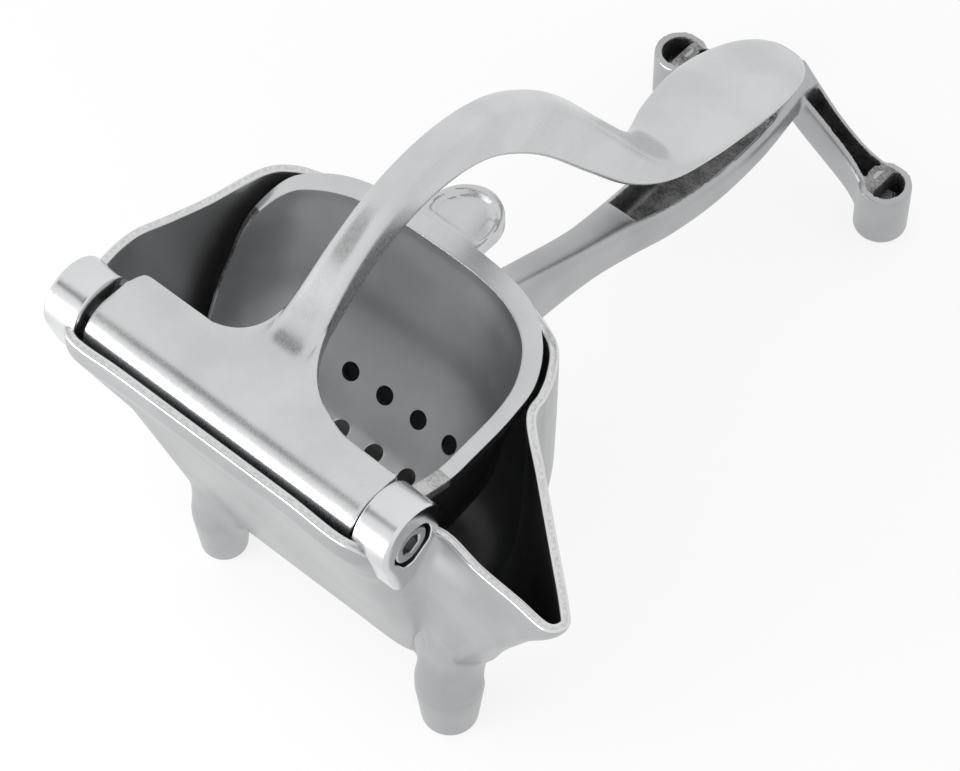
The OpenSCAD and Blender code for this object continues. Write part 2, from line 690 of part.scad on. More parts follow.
// Press jaw: a plate with upright ribs on its pressing side
module press_jaw() {
    color("gainsboro") placed() translate([0, 0, hinge_h]) difference() {
        rotate([-jaw_angle, 0, 0]) {
            translate([0, 0, -jaw_t / 2]) linear_extrude(jaw_t) polygon([
                [-jaw_w / 2, 0],
                [jaw_w / 2, 0],
                [jaw_w / 2, 0.55 * jaw_len],
                [0.43 * jaw_w, 0.75 * jaw_len],
                [0.32 * jaw_w, 0.9 * jaw_len],
                [0.18 * jaw_w, jaw_len],
                [-0.18 * jaw_w, jaw_len],
                [-0.32 * jaw_w, 0.9 * jaw_len],
                [-0.43 * jaw_w, 0.75 * jaw_len],
                [-jaw_w / 2, 0.55 * jaw_len]
            ]);
            for (k = [-2 : 2])
                translate([k * jaw_w / 6 - jaw_t / 4, 0, -jaw_t])
                    cube([jaw_t / 2, 0.86 * jaw_len, jaw_t]);
        }
        translate([-hinge_w / 2, 0, 0]) rotate([0, 90, 0]) cylinder(r = barrel_r, h = hinge_w);
    }
}

module hinge_shaft() {
    color("lightsteelblue") placed() translate([0, 0, hinge_h]) rotate([0, 90, 0]) difference() {
        cylinder(d = shaft_d, h = 2 * shaft_half, center = true);
        for (side = [-1, 1])
            translate([0, 0, side * shaft_half])
                cylinder(r = thread_d / 2 + shaft_clear, h = 2 * (thread_len + over), center = true);
    }
}

module hinge_screws() {
    color("lightsteelblue") placed() for (side = [0, 1])
        translate([0, 0, hinge_h]) rotate([0, 90, 180 * side]) difference() {
            union() {
                translate([0, 0, shaft_half]) cylinder(d = head_d, h = head_h);
                translate([0, 0, shaft_half - thread_len]) cylinder(d = thread_d, h = thread_len + head_h / 2);
            }
            translate([0, 0, shaft_half + head_h - socket_depth])
                cylinder(r = socket_af / sqrt(3), h = socket_depth + over, $fn = 6);
        }
}

trough_body();
base_handle();
cross_foot();
strainer_basket();
lever_hub();
lever_arm();
press_jaw();
hinge_shaft();
hinge_screws();
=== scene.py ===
import math

import bpy
import numpy as np
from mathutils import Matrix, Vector
from mathutils.bvhtree import BVHTree


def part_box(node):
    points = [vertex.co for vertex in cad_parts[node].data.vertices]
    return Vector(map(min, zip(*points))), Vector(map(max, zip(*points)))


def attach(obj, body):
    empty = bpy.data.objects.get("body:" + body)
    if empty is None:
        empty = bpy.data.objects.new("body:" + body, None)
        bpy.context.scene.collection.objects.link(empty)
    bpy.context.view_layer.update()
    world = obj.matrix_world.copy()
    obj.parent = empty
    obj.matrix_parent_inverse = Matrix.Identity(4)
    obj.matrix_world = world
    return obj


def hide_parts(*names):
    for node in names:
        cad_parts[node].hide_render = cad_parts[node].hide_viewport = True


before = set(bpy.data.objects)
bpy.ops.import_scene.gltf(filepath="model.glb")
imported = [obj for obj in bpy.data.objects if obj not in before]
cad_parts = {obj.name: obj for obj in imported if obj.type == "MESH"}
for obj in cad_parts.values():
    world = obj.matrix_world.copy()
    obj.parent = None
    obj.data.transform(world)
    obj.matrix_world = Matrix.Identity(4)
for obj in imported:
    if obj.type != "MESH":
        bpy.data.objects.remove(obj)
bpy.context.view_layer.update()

# Trough: one thin aluminium casting that carries everything else. Its wall runs round a
# rounded back, a straight front and a beak that pours to the right, and ends in a rim
# that was filed flat, so that the edges are bright and the land between them is dull.
MM = 0.001
shaft_low, shaft_high = (np.array(corner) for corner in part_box("hinge_shaft"))
hinge = (shaft_low + shaft_high) / 2
hinge_h = hinge[2] / MM
beak_reach = 100.7
wall = 2.6
body_w = 108
body_back = 79.5
floor_h = 20
beak_back = 9
front_rise = 5
side_rise = 8
front_y = 13.1
seat_h = hinge_h - 3.8
half_w = body_w / 2
tip_r = 1.8 * wall
columns_per_point = 8


def mix(a, b, t):
    return a + (b - a) * t


def share_curve(stations):
    """A smooth curve through (place, value) stations that overshoots none of them."""
    x, y = np.array(stations, float).T
    slope = np.diff(y) / np.diff(x)
    tangent = np.zeros_like(y)
    steady = slope[1:] * slope[:-1] > 0
    inner = tangent[1:-1]
    inner[steady] = 2 / (1 / slope[1:][steady] + 1 / slope[:-1][steady])

    def at(place):
        place = np.clip(place, x[0], x[-1])
        i = np.clip(np.searchsorted(x, place) - 1, 0, len(x) - 2)
        width = x[i + 1] - x[i]
        t = (place - x[i]) / width
        return (
            (1 + 2 * t) * (1 - t) ** 2 * y[i]
            + t * (1 - t) ** 2 * width * tangent[i]
            + t * t * (3 - 2 * t) * y[i + 1]
            + t * t * (t - 1) * width * tangent[i + 1]
        )

    return at


def ring_curve(values):
    """The same, round a closed ring with one value to each control point."""
    values = list(values)
    wrapped = values[-3:] + values + values[:3]
    return share_curve([(i - 3, value) for i, value in enumerate(wrapped)])


def arch(share, power=3):
    return (1 - np.minimum(abs(share), 1) ** power) ** (1 / power)


def spline_at(points, u):
    """Places u along closed control points, one unit to a point, with a row of points for each u."""
    count = points.shape[1]
    i = np.floor(u).astype(int)
    t = (u - i)[:, None]
    rows = np.arange(len(u))
    a, b, c, d = (points[rows, (i + k) % count] for k in (-1, 0, 1, 2))
    bend = 2 * a - 5 * b + 4 * c - d
    return (2 * b + (c - a) * t + bend * t**2 + (3 * b - a - 3 * c + d) * t**3) / 2


def outline_at(outline, u, z, inset):
    """Points of a closed plan outline at heights z, drawn in along its normal."""
    points = outline(z)
    along = spline_at(points, u + 0.6) - spline_at(points, u - 0.6)
    normal = np.stack([-along[:, 1], along[:, 0]], -1) / np.linalg.norm(along, axis=1)[:, None]
    place = spline_at(points, u) + np.broadcast_to(inset, u.shape)[:, None] * normal
    return np.column_stack([place, z])


half_at = share_curve([(0, 0.74), (0.19, 0.80), (0.28, 0.90), (0.42, 0.955), (0.57, 0.985), (1, 1)])
back_at = share_curve(
    [(0, 0.66), (0.19, 0.72), (0.26, 0.84), (0.34, 0.92), (0.44, 0.975), (0.58, 1), (1, 1)]
)
left_at = share_curve([(0, 0.76), (0.19, 0.80), (0.42, 0.88), (0.57, 0.92), (0.8, 1), (1, 1.072)])
corner_at = share_curve([(0, 0.72), (0.83, 0.72), (0.91, 0.963), (1.03, 0.963)])
right_at = share_curve([(0, 0.74), (0.19, 0.76), (0.42, 0.82), (0.8, 0.92), (0.9, 0.985), (1, 0.985)])
tip_at = share_curve(
    [(0, 0.575), (0.19, 0.59), (0.38, 0.67), (0.57, 0.755), (0.75, 0.86), (0.98, 0.992), (1.2, 1)]
)
tip_back_at = share_curve(
    [(0, 0.36), (0.19, 0.355), (0.38, 0.265), (0.57, 0.20), (0.75, 0.17), (1, 0.126)]
)
cheek_out_at = share_curve([(0.19, 0.05), (0.57, 0.14), (0.8, 0.12), (0.9, 0.06), (1, 0.055)])
cheek_at = share_curve([(0, 0.02), (0.34, 0.04), (0.57, 0.09), (0.8, 0.16), (0.94, 0.25), (1, 0.255)])


def front_at(z):
    """Where the front wall stands: it slopes out as it rises and turns upright below the rim."""
    share = z / hinge_h
    slope = body_back * np.interp(share, [0, 0.19, 0.915], [0.264, 0.189, -0.123])
    upright = mix(-0.76 * front_y, -front_y, np.clip((share - 0.915) / 0.07, 0, 1))
    return np.where(share < 0.915, slope, upright)


def row_of(*places):
    """Control points with a row for each height."""
    return np.stack([np.stack(np.broadcast_arrays(x, y), -1) for x, y in places], 1)


def trough_outline(z):
    s = z / hinge_h
    half, left, corner = half_w * half_at(s), half_w * left_at(s), half_w * corner_at(s)
    right, back, front = half_w * right_at(s), body_back * back_at(s), front_at(z)
    depth = back - 40 / 79.5 * body_back * half_at(s)
    tip = np.stack([beak_reach * tip_at(s), beak_back + body_back * (tip_back_at(s) - 0.126)])
    cheek = np.stack([right + half_w * cheek_out_at(s), front + body_back * cheek_at(s)])
    turn = tip_r * np.maximum(1, 2.1 - 1.3 * s)
    tip_front = tip + np.stack([-0.75 * turn, -turn])
    tip_rear = tip + np.stack([-0.85 * turn, 1.05 * turn])
    waist = np.stack([1.03 * half, 0.61 * back])
    shoulder = np.stack([-0.995 * half, back - 0.88 * depth])
    jowl = np.stack([-left, mix(front, shoulder[1], 0.58)])
    corner_end = np.stack([-corner, front + 0.11 * half_w])
    back_places = [0.94, 0.84, 0.68, 0.44, 0.15, -0.15, -0.44, -0.68, -0.84, -0.94]
    return row_of(
        (-corner + 0.11 * half_w, front),
        (-0.55 * corner, front),
        (0 * front, front),
        (0.5 * right, front),
        (right - 0.09 * half_w, front),
        mix(np.stack([right, front]), cheek, 0.38),
        cheek,
        mix(cheek, tip_front, 0.4),
        mix(cheek, tip_front, 0.72),
        tip_front,
        tip,
        tip_rear,
        mix(tip_rear, waist, 0.33),
        mix(tip_rear, waist, 0.7),
        waist,
        (0.99 * half, back - 0.61 * depth),
        *[(x * half, back - depth + depth * arch(x)) for x in back_places],
        shoulder,
        mix(shoulder, jowl, 0.5),
        jowl,
        mix(jowl, corner_end, 0.5) - np.array([[0.02 * half_w], [0]]),
        corner_end,
    )


beak_rim = hinge_h - 1.3 * wall
rim_heights = (
    [hinge_h + front_rise] * 5
    + [beak_rim, beak_rim - 0.7 * wall, beak_rim - 0.6 * wall, beak_rim - 0.2 * wall]
    + [beak_rim] * 3
    + [beak_rim + 0.3 * wall, hinge_h - 0.6 * wall, hinge_h, hinge_h, hinge_h, hinge_h - 1]
    + [seat_h] * 6
    + [hinge_h - 1, hinge_h]
    + [hinge_h + share * side_rise for share in (0.2, 0.5, 0.8, 1)]
    + [hinge_h + front_rise]
)
rim_at = ring_curve(rim_heights)
trough_u = np.arange(len(rim_heights) * columns_per_point) / columns_per_point
rim_z = rim_at(trough_u)


class Form:
    """Points in millimetres, from the middle of the hinge along X and Y and from the table along Z,
    with faces and the number of each face's finish."""

    def __init__(self, points, faces, finish):
        self.points = np.array(points, float)
        self.faces = [tuple(face) for face in faces]
        self.finish = list(finish)
        if self.volume() < 0:
            self.faces = [face[::-1] for face in self.faces]

    def corners(self):
        """Corner numbers as rows of four, a triangle's last one twice."""
        return np.array([face if len(face) == 4 else face + face[-1:] for face in self.faces])

    def volume(self):
        a, b, c, d = (self.points[k] for k in self.corners().T)
        halves = (a * np.cross(b, c)).sum() + (a * np.cross(c, d)).sum()
        return halves / 6

    def normals(self):
        corners = self.corners()
        a, b, c, d = (self.points[k] for k in corners.T)
        facing = np.cross(c - a, d - b)
        total = np.zeros_like(self.points)
        for k in range(4):
            np.add.at(total, corners[:, k], facing)
        return total / np.maximum(np.linalg.norm(total, axis=1), 1e-9)[:, None]

    def tree(self):
        return BVHTree.FromPolygons(self.points.tolist(), self.faces)


def gap_to(tree, place, reach):
    """Distance to a closed form, negative inside it."""
    near, facing, _, distance = tree.find_nearest(place, reach)
    if near is None:
        return reach
    return math.copysign(distance, (place - near).dot(facing))


def loft(rings, finish=0, ends=(None, None), closed=False):
    """A skin through rings of equal count, with one finish or one for each band. An end is a
    fan to the point given, or a flat face where it is "flat"."""
    count, total = len(rings[0]), len(rings)
    points = [np.array(ring, float) for ring in rings]
    bands = total if closed else total - 1
    kinds = [finish] * bands if isinstance(finish, int) else list(finish)
    faces, finishes = [], []
    for j in range(bands):
        a, b = j * count, (j + 1) % total * count
        for i in range(count):
            k = (i + 1) % count
            faces.append((a + i, a + k, b + k, b + i))
            finishes.append(kinds[j])
    extra = []
    for end, base, kind in ((ends[0], 0, kinds[0]), (ends[1], (total - 1) * count, kinds[-1])):
        if end is None:
            continue
        middle = points[base // count].mean(0) if isinstance(end, str) else np.array(end, float)
        hub = total * count + len(extra)
        extra.append(middle)
        for i in range(count):
            k = (i + 1) % count
            rim = (base + k, base + i) if base == 0 else (base + i, base + k)
            faces.append((*rim, hub))
            finishes.append(kind)
    return Form(np.vstack(points + [np.array(extra).reshape(-1, 3)]), faces, finishes)


def bar(rings, finish=0):
    """A skin closed by a flat face at each end."""
    return loft(rings, finish, ends=("flat", "flat"))


def skinned(bands, ends):
    """A skin from (ring, finish) pairs, where each finish is for the band that ends at its ring."""
    rings, finish = zip(*bands)
    return loft(rings, finish[1:], ends)


def rounded(radius, count=5, across_r=None):
    """Steps in and down over a rounded edge, from its side to its top. The step in has a size
    of its own where across_r gives one."""
    turns = np.radians(np.linspace(0, 90, count))
    in_r = radius if across_r is None else across_r
    return [(in_r * (1 - math.cos(turn)), radius * (1 - math.sin(turn))) for turn in turns]


def trough_ring(z, inset):
    return outline_at(trough_outline, trough_u, np.broadcast_to(z, trough_u.shape) * 1.0, inset)


def floor_ring(z, inset, share):
    """The trough's ring at z, drawn by a share towards the middle of its floor."""
    return mix(trough_ring(z, inset), np.array([*floor_middle, z]), share)


OUTSIDE, EDGE, LAND, INSIDE, BORE = range(5)
floor_middle = [0.1 * half_w, 0.45 * body_back]
floor_draw = 0.12
floor_r = 1.6 * wall
inner_floor = floor_h + 1.4 * wall
edge_r = 0.6
land_sink = 0.12
land_in = mix(edge_r, wall, 0.12)
trough_bands = []
for draw, rise in rounded(floor_r, 7, floor_draw)[::-1]:
    trough_bands.append((floor_ring(floor_h + rise, 0, draw), OUTSIDE))
for share in np.linspace(0, 1, 52)[1:]:
    z = mix(floor_h + floor_r, rim_z - edge_r, share)
    trough_bands.append((trough_ring(z, 0), OUTSIDE))
for inset, drop in rounded(edge_r)[1:]:
    trough_bands.append((trough_ring(rim_z - drop, inset), EDGE))
for inset in (land_in, wall - land_in):
    trough_bands.append((trough_ring(rim_z - land_sink, inset), LAND))
for inset, drop in rounded(edge_r)[::-1]:
    trough_bands.append((trough_ring(rim_z - drop, wall - inset), EDGE))
for share in np.linspace(1, 0, 48)[1:]:
    z = mix(inner_floor + wall, rim_z - edge_r, share)
    trough_bands.append((trough_ring(z, wall), INSIDE))
for draw, rise in rounded(wall, 7, floor_draw)[1:]:
    trough_bands.append((floor_ring(inner_floor + rise, wall, draw), INSIDE))
trough = skinned(trough_bands, ([*floor_middle, floor_h], [*floor_middle, inner_floor]))

# Lugs: the two round ears of the trough that carry the hinge. Each is bored through for
# the shaft, sunk for a screw head on its outer face, and runs down the front wall in a
# small round tail. They were ground bright with the rim.
sunk_deep = 5.2
hinge_w = (shaft_high - shaft_low)[0] / MM + 2 * sunk_deep
lug_t = 11
lug_r = 10.6
lug_up = 0.22 * lug_r
tail_r = 4.4
tail_at = np.array([-0.27, -1.17]) * lug_r
lug_in = hinge_w / 2 - lug_t
bore_r = 4.05
sunk_r = 6.6
sunk_edge = 0.25
lug_round = 0.8
lug_inner_round = 0.5


def lug_outline(inset):
    """Round the ear and its tail in the plane across the hinge, as Y and Z."""
    lean = math.atan2(tail_at[1], tail_at[0])
    opening = math.acos((lug_r - tail_r) / np.linalg.norm(tail_at))
    big = np.linspace(lean + opening, lean + 2 * math.pi - opening, 64)
    small = np.linspace(lean - opening, lean + opening, 24)
    ear = (lug_r - inset) * np.column_stack([np.cos(big), np.sin(big)])
    tail = tail_at + (tail_r - inset) * np.column_stack([np.cos(small), np.sin(small)])
    return np.vstack([ear, tail]) + [0, hinge_h + lug_up]


def across(x, outline):
    """A ring at x from places given as Y and Z."""
    return np.column_stack([np.full(len(outline), x), outline])


def round_hole(radius, outline):
    """A circle about the hinge line with a point for each of an outline's."""
    toward = outline - [0, hinge_h]
    return radius * toward / np.linalg.norm(toward, axis=1)[:, None] + [0, hinge_h]


def lug(side):
    """An ear from its inner face to its outer, and back through the screw's seat and the bore."""
    inner, outer = side * lug_in, side * hinge_w / 2
    bore, seat, rim = (round_hole(r, lug_outline(0)) for r in (bore_r, sunk_r, sunk_r + sunk_edge))
    skin = [(inner, bore), (inner, mix(bore, lug_outline(lug_inner_round), 0.6))]
    skin += [(inner + side * step, lug_outline(drop)) for step, drop in rounded(lug_inner_round)]
    skin += [(mix(inner, outer, share), lug_outline(0)) for share in np.linspace(0.1, 0.9, 9)]
    skin += [(outer - side * step, lug_outline(drop)) for step, drop in rounded(lug_round)[::-1]]
    skin += [(outer, mix(seat, lug_outline(lug_round), 0.5)), (outer, rim)]
    skin += [(outer - side * sunk_edge, seat), (outer - side * sunk_deep, seat)]
    skin += [(outer - side * sunk_deep, bore)]
    rings = [across(x, outline) for x, outline in skin]
    # The last three bands, the seat's wall and floor and the bore, take the finish painted dark as
    # shade.
    return loft(rings, [EDGE] * (len(rings) - 3) + [BORE] * 3, closed=True)


# Front feet: two tapered stubs cast under the front corners of the trough, with rounded
# ends. The wall runs down into them without a seam.
feet = [(-29.5, 17.5, 6.4), (53.5, 17.5, 7.6)]
foot_round = 2
foot_taper = 0.11
foot_draw_in = 0.15
foot_fillet = 10


def evened(ring):
    """A closed row of points with its kinks taken out."""
    shares = {-3: 1, -2: 2, -1: 3, 0: 4, 1: 3, 2: 2, 3: 1}
    return sum(weight * np.roll(ring, shift, axis=0) for shift, weight in shares.items()) / 16


def flared(rings, tree, spread, upright=1.0):
    """A skin whose rings end inside another form, with its end spread over that form in a
    fillet. Upright is the share of the spread on its upper and lower sides. The last two
    rings turn back and stay hidden."""
    rings = np.array(rings)
    total, count = rings.shape[:2]
    normals = bar(rings).normals()[: total * count].reshape(total, count, 3)
    columns, joins, ends = [], [], []
    for k in range(count):
        column = rings[:, k]
        j = next(i for i in range(1, total) if gap_to(tree, Vector(column[i]), spread) < 0)
        outer, inner = column[j - 1], column[j]
        for _ in range(12):
            middle = (outer + inner) / 2
            if gap_to(tree, Vector(middle), spread) < 0:
                inner = middle
            else:
                outer = middle
        reach = spread * mix(upright, 1, abs(normals[j - 1, k][0]))
        path = np.vstack([column[:j], outer])
        length = np.concatenate([[0], np.cumsum(np.linalg.norm(np.diff(path, axis=0), axis=1))])
        places = np.linspace(0, max(length[-1] - reach, 0.3 * length[-1]), total)
        straight = np.column_stack([np.interp(places, length, path[:, axis]) for axis in range(3)])
        surface = np.array(tree.find_nearest(Vector(outer))[1])
        along = (column[j] - column[j - 1]) / np.linalg.norm(column[j] - column[j - 1])
        away = normals[j - 1, k] + 0.25 * along
        away = away - away.dot(surface) * surface
        columns.append((straight, outer - 1.2 * surface, straight[-1] - 2 * normals[j - 1, k]))
        joins.append(outer)
        ends.append(outer + reach * away / np.linalg.norm(away))
    joins, ends = evened(np.array(joins)), evened(np.array(ends))
    t = np.linspace(0, 1, 15)[1:, None]
    flared_columns = []
    for (straight, *back), join, end in zip(columns, joins, ends):
        near, facing = tree.find_nearest(Vector(end))[:2]
        end = np.array(near) - 0.12 * np.array(facing)
        bend = (1 - t) ** 2 * straight[-1] + 2 * t * (1 - t) * join + t * t * end
        flared_columns.append(np.vstack([straight, bend, back]))
    return np.array(flared_columns).transpose(1, 0, 2)


def turned_rings(profile, x, y, count):
    """Level circles about an upright axis from (radius, height) pairs."""
    turn = np.linspace(0, 2 * math.pi, count, endpoint=False)
    return [
        np.column_stack([x + r * np.cos(turn), y + r * np.sin(turn), np.full(count, z)])
        for r, z in profile
    ]


def front_foot(x, y, radius):
    """A stub that widens up to the trough's floor and draws in above it, inside the wall."""
    stem, sole = [], [(radius - 2 * foot_round, 0)]
    for a in np.radians(np.linspace(0, 85, 7)):
        z = foot_round * (1 - math.cos(a))
        sole.append((radius - foot_round + foot_round * math.sin(a) + foot_taper * z, z))
    for z in np.linspace(foot_round, 80, 160):
        widened = radius + foot_taper * min(z, 0.8 * floor_h)
        stem.append((widened - foot_draw_in * max(z - floor_h, 0), z))
    stem_rings = flared(turned_rings(stem, x, y, 72), trough_tree, foot_fillet)
    return bar([*turned_rings(sole, x, y, 72), *stem_rings], OUTSIDE)


lugs = [lug(-1), lug(1)]
trough_tree = trough.tree()
front_feet = [front_foot(*foot) for foot in feet]

# Skins of the trough, lugs and front feet. The casting was tumbled to a satin, then its rim
# and lugs were ground bright. The screws' seats and bores, and the inside of the beak, are
# painted dark as shade.


class Value:
    """A number that a shader works out at each place, with ordinary arithmetic."""

    def __init__(self, finish, socket):
        self.finish = finish
        self.socket = socket

    def __add__(self, other):
        return self.finish.maths("ADD", self, other)

    def __sub__(self, other):
        return self.finish.maths("SUBTRACT", self, other)

    def __rsub__(self, other):
        return self.finish.maths("SUBTRACT", other, self)

    def __mul__(self, other):
        return self.finish.maths("MULTIPLY", self, other)

    __radd__ = __add__
    __rmul__ = __mul__

    def between(self, start, end):
        """0 below start, 1 above end, and smooth between."""
        settings = {"interpolation_type": "SMOOTHSTEP"}
        inputs = {"Value": self, "From Min": start, "From Max": end}
        return self.finish.node("ShaderNodeMapRange", settings, inputs).out("Result")


class Step:
    """A node that was added, from which a socket can be taken."""

    def __init__(self, finish, made):
        self.finish = finish
        self.made = made

    def out(self, name):
        return Value(self.finish, self.made.outputs[name])


class Finish:
    """A material, or the world, while it is built."""

    def __init__(self, owner):
        self.owner = owner
        owner.use_nodes = True
        self.tree = owner.node_tree
        self.tree.nodes.clear()
        self.place = self.node("ShaderNodeTexCoord").out("Object")

    def node(self, kind, settings=None, inputs=None):
        made = self.tree.nodes.new(kind)
        for name, setting in (settings or {}).items():
            setattr(made, name, setting)
        for name, value in (inputs or {}).items():
            socket = made.inputs[name]
            if isinstance(value, Value):
                self.tree.links.new(value.socket, socket)
            else:
                socket.default_value = value
        return Step(self, made)

    def maths(self, operation, *values):
        inputs = dict(enumerate(values))
        return self.node("ShaderNodeMath", {"operation": operation}, inputs).out("Value")

    def noise(self, size, detail=2, stretch=(1, 1, 1)):
        """Noise with features of about size millimetres, drawn out along the axes by stretch."""
        scale = tuple(1 / (size * MM * along) for along in stretch)
        inputs = {0: self.place, 1: scale}
        place = self.node("ShaderNodeVectorMath", {"operation": "MULTIPLY"}, inputs).out("Vector")
        inputs = {"Vector": place, "Scale": 1.0, "Detail": detail}
        return self.node("ShaderNodeTexNoise", None, inputs).out("Fac")

    def blend(self, share, a, b):
        """A colour between a and b, which are colours or links."""
        inputs = {0: share, 6: a, 7: b}
        return self.node("ShaderNodeMix", {"data_type": "RGBA"}, inputs).out(2)

    def surface(self, shader, output="Material"):
        """Ends in a shader."""
        self.node("ShaderNodeOutput" + output, None, {"Surface": shader})
        return self.owner

    def metal(self, colour, roughness, height, depth):
        """Ends in a metal surface, with height in shares of depth millimetres."""
        inputs = {"Height": height, "Distance": depth * MM, "Strength": 1.0}
        bump = self.node("ShaderNodeBump", None, inputs).out("Normal")
        inputs = {"Base Color": colour, "Metallic": 1.0, "Roughness": roughness, "Normal": bump}
        return self.surface(self.node("ShaderNodeBsdfPrincipled", None, inputs).out("BSDF"))


def new_finish(name):
    return Finish(bpy.data.materials.new(name))


def grey(level, warmth=0.0):
    """A colour that shows at about this level of 255."""
    parts = ((level + warmth) / 255, level / 255, (level - warmth) / 255)
    return (*[part**2.2 for part in parts], 1.0)


def satin(name, dark, light, roughness, grain=0.012, streak=(1, 1, 1)):
    """Aluminium that was tumbled or brushed to a satin: faint clouds, fine grain, a few scratches."""
    finish = new_finish(name)
    clouds = finish.noise(22, 3)
    grains = finish.noise(0.55, 2, streak)
    scratches = finish.noise(1.3, 2, (9, 9, 0.6)).between(0.66, 0.72)
    colour = finish.blend(clouds.between(0.3, 0.7), grey(dark, -1), grey(light, -1))
    rough = roughness + 0.1 * (clouds - 0.5) + 0.12 * (grains - 0.5) + 0.06 * scratches
    return finish.metal(colour, rough, grains + 1.5 * finish.noise(4, 2), grain)


def filed(name, dark, light, roughness):
    """A land that a file or a grinder went over: short streaks, dark between them."""
    finish = new_finish(name)
    strokes = finish.noise(0.5, 3, (2, 2, 1))
    colour = finish.blend(strokes.between(0.42, 0.6), grey(dark), grey(light))
    return finish.metal(colour, roughness + 0.12 * (strokes - 0.5), strokes, 0.03)


def linked(name, data):
    """A new object in the scene."""
    thing = bpy.data.objects.new(name, data)
    bpy.context.scene.collection.objects.link(thing)
    return thing


def cast_object(name, forms, materials, body, nodes, sharp=38):
    """One piece from forms that touch, riding on its body and standing for its nodes."""
    mesh = bpy.data.meshes.new(name)
    points, faces, finish = [], [], []
    for form in forms:
        base = sum(len(part) for part in points)
        points.append(form.points * MM + [hinge[0], hinge[1], 0])
        faces += [tuple(corner + base for corner in face) for face in form.faces]
        finish += form.finish
    mesh.from_pydata(np.vstack(points).tolist(), [], faces)
    for material in materials:
        mesh.materials.append(material)
    mesh.polygons.foreach_set("material_index", finish)
    mesh.polygons.foreach_set("use_smooth", [True] * len(faces))
    mesh.set_sharp_from_angle(angle=math.radians(sharp))
    mesh.validate()
    piece = linked(name, mesh)
    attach(piece, body)
    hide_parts(*nodes)


body_satin = satin("body_satin", 168, 180, 0.34, streak=(3, 3, 0.6))
bright_edge = satin("bright_edge", 206, 218, 0.2, grain=0.006)
dull_land = filed("dull_land", 196, 214, 0.3)
# Painted shade: the screws' seats and the bores are coloured dark because the recesses are shaded.
bore_painted_shade = satin("bore_painted_shade", 62, 84, 0.5)


def inside_skin(name):
    """The hollow side: satin like the outside, with shade painted dark into the beak."""
    finish = new_finish(name)
    x = finish.node("ShaderNodeSeparateXYZ", None, {"Vector": finish.place}).out("X")
    # Painted shade: the colour darkens to grey 96 from 36 to 62 mm right of the hinge, in the beak.
    beak = x.between(hinge[0] + 36 * MM, hinge[0] + 62 * MM)
    clouds, grains = finish.noise(22, 3), finish.noise(0.55, 2)
    skin = finish.blend(clouds.between(0.3, 0.7), grey(192, -1), grey(206, -1))
    colour = finish.blend(beak, skin, grey(96))
    return finish.metal(colour, 0.4 + 0.1 * (clouds - 0.5) + 0.1 * (grains - 0.5), grains, 0.02)


# Inside finish of the trough and the strainer's bowl, with painted shade in the beak.
inside_with_beak_shade = inside_skin("inside_with_beak_shade")
cast_object(
    "trough",
    [trough, *lugs, *front_feet],
    [body_satin, bright_edge, dull_land, inside_with_beak_shade, bore_painted_shade],
    "base",
    ["trough_body"],
)

# Base handle and cross foot: the rear half of the body casting. A flat-topped handle runs
# back from the wall, widens round an open pocket and splits into two legs with a channel
# on top, each with a round pad that stands on the table. The pockets are as cast.
cross_back = 226
pad_span = 76.4
pad_r = 8
pad_h = 19
ridge_h = 38
leg_w = 10
handle_w = 11
handle_wide = 20
web = 2.4
root_y = body_back + 6
ridge_y = cross_back + 0.3 * leg_w
pocket_start, pocket_end, pocket_ramp = 5.2, 8.7, 0.5
section_points = 40
grid = 0.5
skin_depth = 0.35
# Place along the handle, top and bottom in shares of the ridge's height, width from the
# narrow stretch to the wide one
handle_stations = np.array(
    [
        [-0.06, 1.84, 0.96, 0.10],
        [0, 1.80, 0.98, 0.05],
        [0.09, 1.69, 1.0, 0.01],
        [0.2, 1.52, 0.99, 0],
        [0.33, 1.32, 0.92, 0.03],
        [0.44, 1.2, 0.82, 0.3],
        [0.55, 1.08, 0.72, 0.72],
        [0.68, 1, 0.66, 0.98],
        [0.81, 0.98, 0.67, 1],
        [0.915, 0.98, 0.7, 0.7],
        [1, 0.98, 0.74, 0.3],
    ]
)
# Place along the leg, top and bottom in the same shares, width in shares of leg_w
leg_stations = np.array(
    [
        [0, 1, 0.7, 1.3],
        [0.22, 0.9, 0.5, 1.02],
        [0.45, 0.76, 0.36, 0.9],
        [0.7, 0.63, 0.24, 0.95],
        [0.88, 0.55, 0.14, 1.25],
        [1, 0.52, 0.08, 1.5],
    ]
)


def on_pad(side, profile, count=56, finish=0):
    """A turned form about a pad's axis from (radius, height) pairs."""
    return bar(turned_rings(profile, side * pad_span / 2, cross_back, count), finish)


def on_path(stations, u):
    """A smooth row between the stations, one unit to a station."""
    last = len(stations) - 1
    i = int(min(max(math.floor(u), 0), last - 1))
    picked = np.array([stations[min(max(i + k, 0), last)] for k in (-1, 0, 1, 2)])
    return spline_at(picked[None], np.array([1 + u - i]))[0]


def squared(half_width, half_depth, power, count):
    """Width and depth offsets round a section with rounded corners."""
    turn = (np.arange(count) + 0.5) / count * 2 * math.pi
    c, s = np.cos(turn), np.sin(turn)
    x = half_width * np.sign(c) * abs(c) ** (2 / power)
    z = half_depth * np.sign(s) * abs(s) ** (2 / power)
    return x, z


def handle_section(station, inset=0.0, floor=None, roof=0.0):
    share, top, bottom, width = station
    top = top * ridge_h + roof
    bottom = bottom * ridge_h if floor is None else bottom * ridge_h + floor
    half_width = mix(handle_w, handle_wide, width) / 2 - inset
    x, z = squared(half_width, (top - bottom) / 2, 5, section_points)
    y = np.full(section_points, mix(root_y, ridge_y, share))
    return np.column_stack([x, y, (top + bottom) / 2 + z])


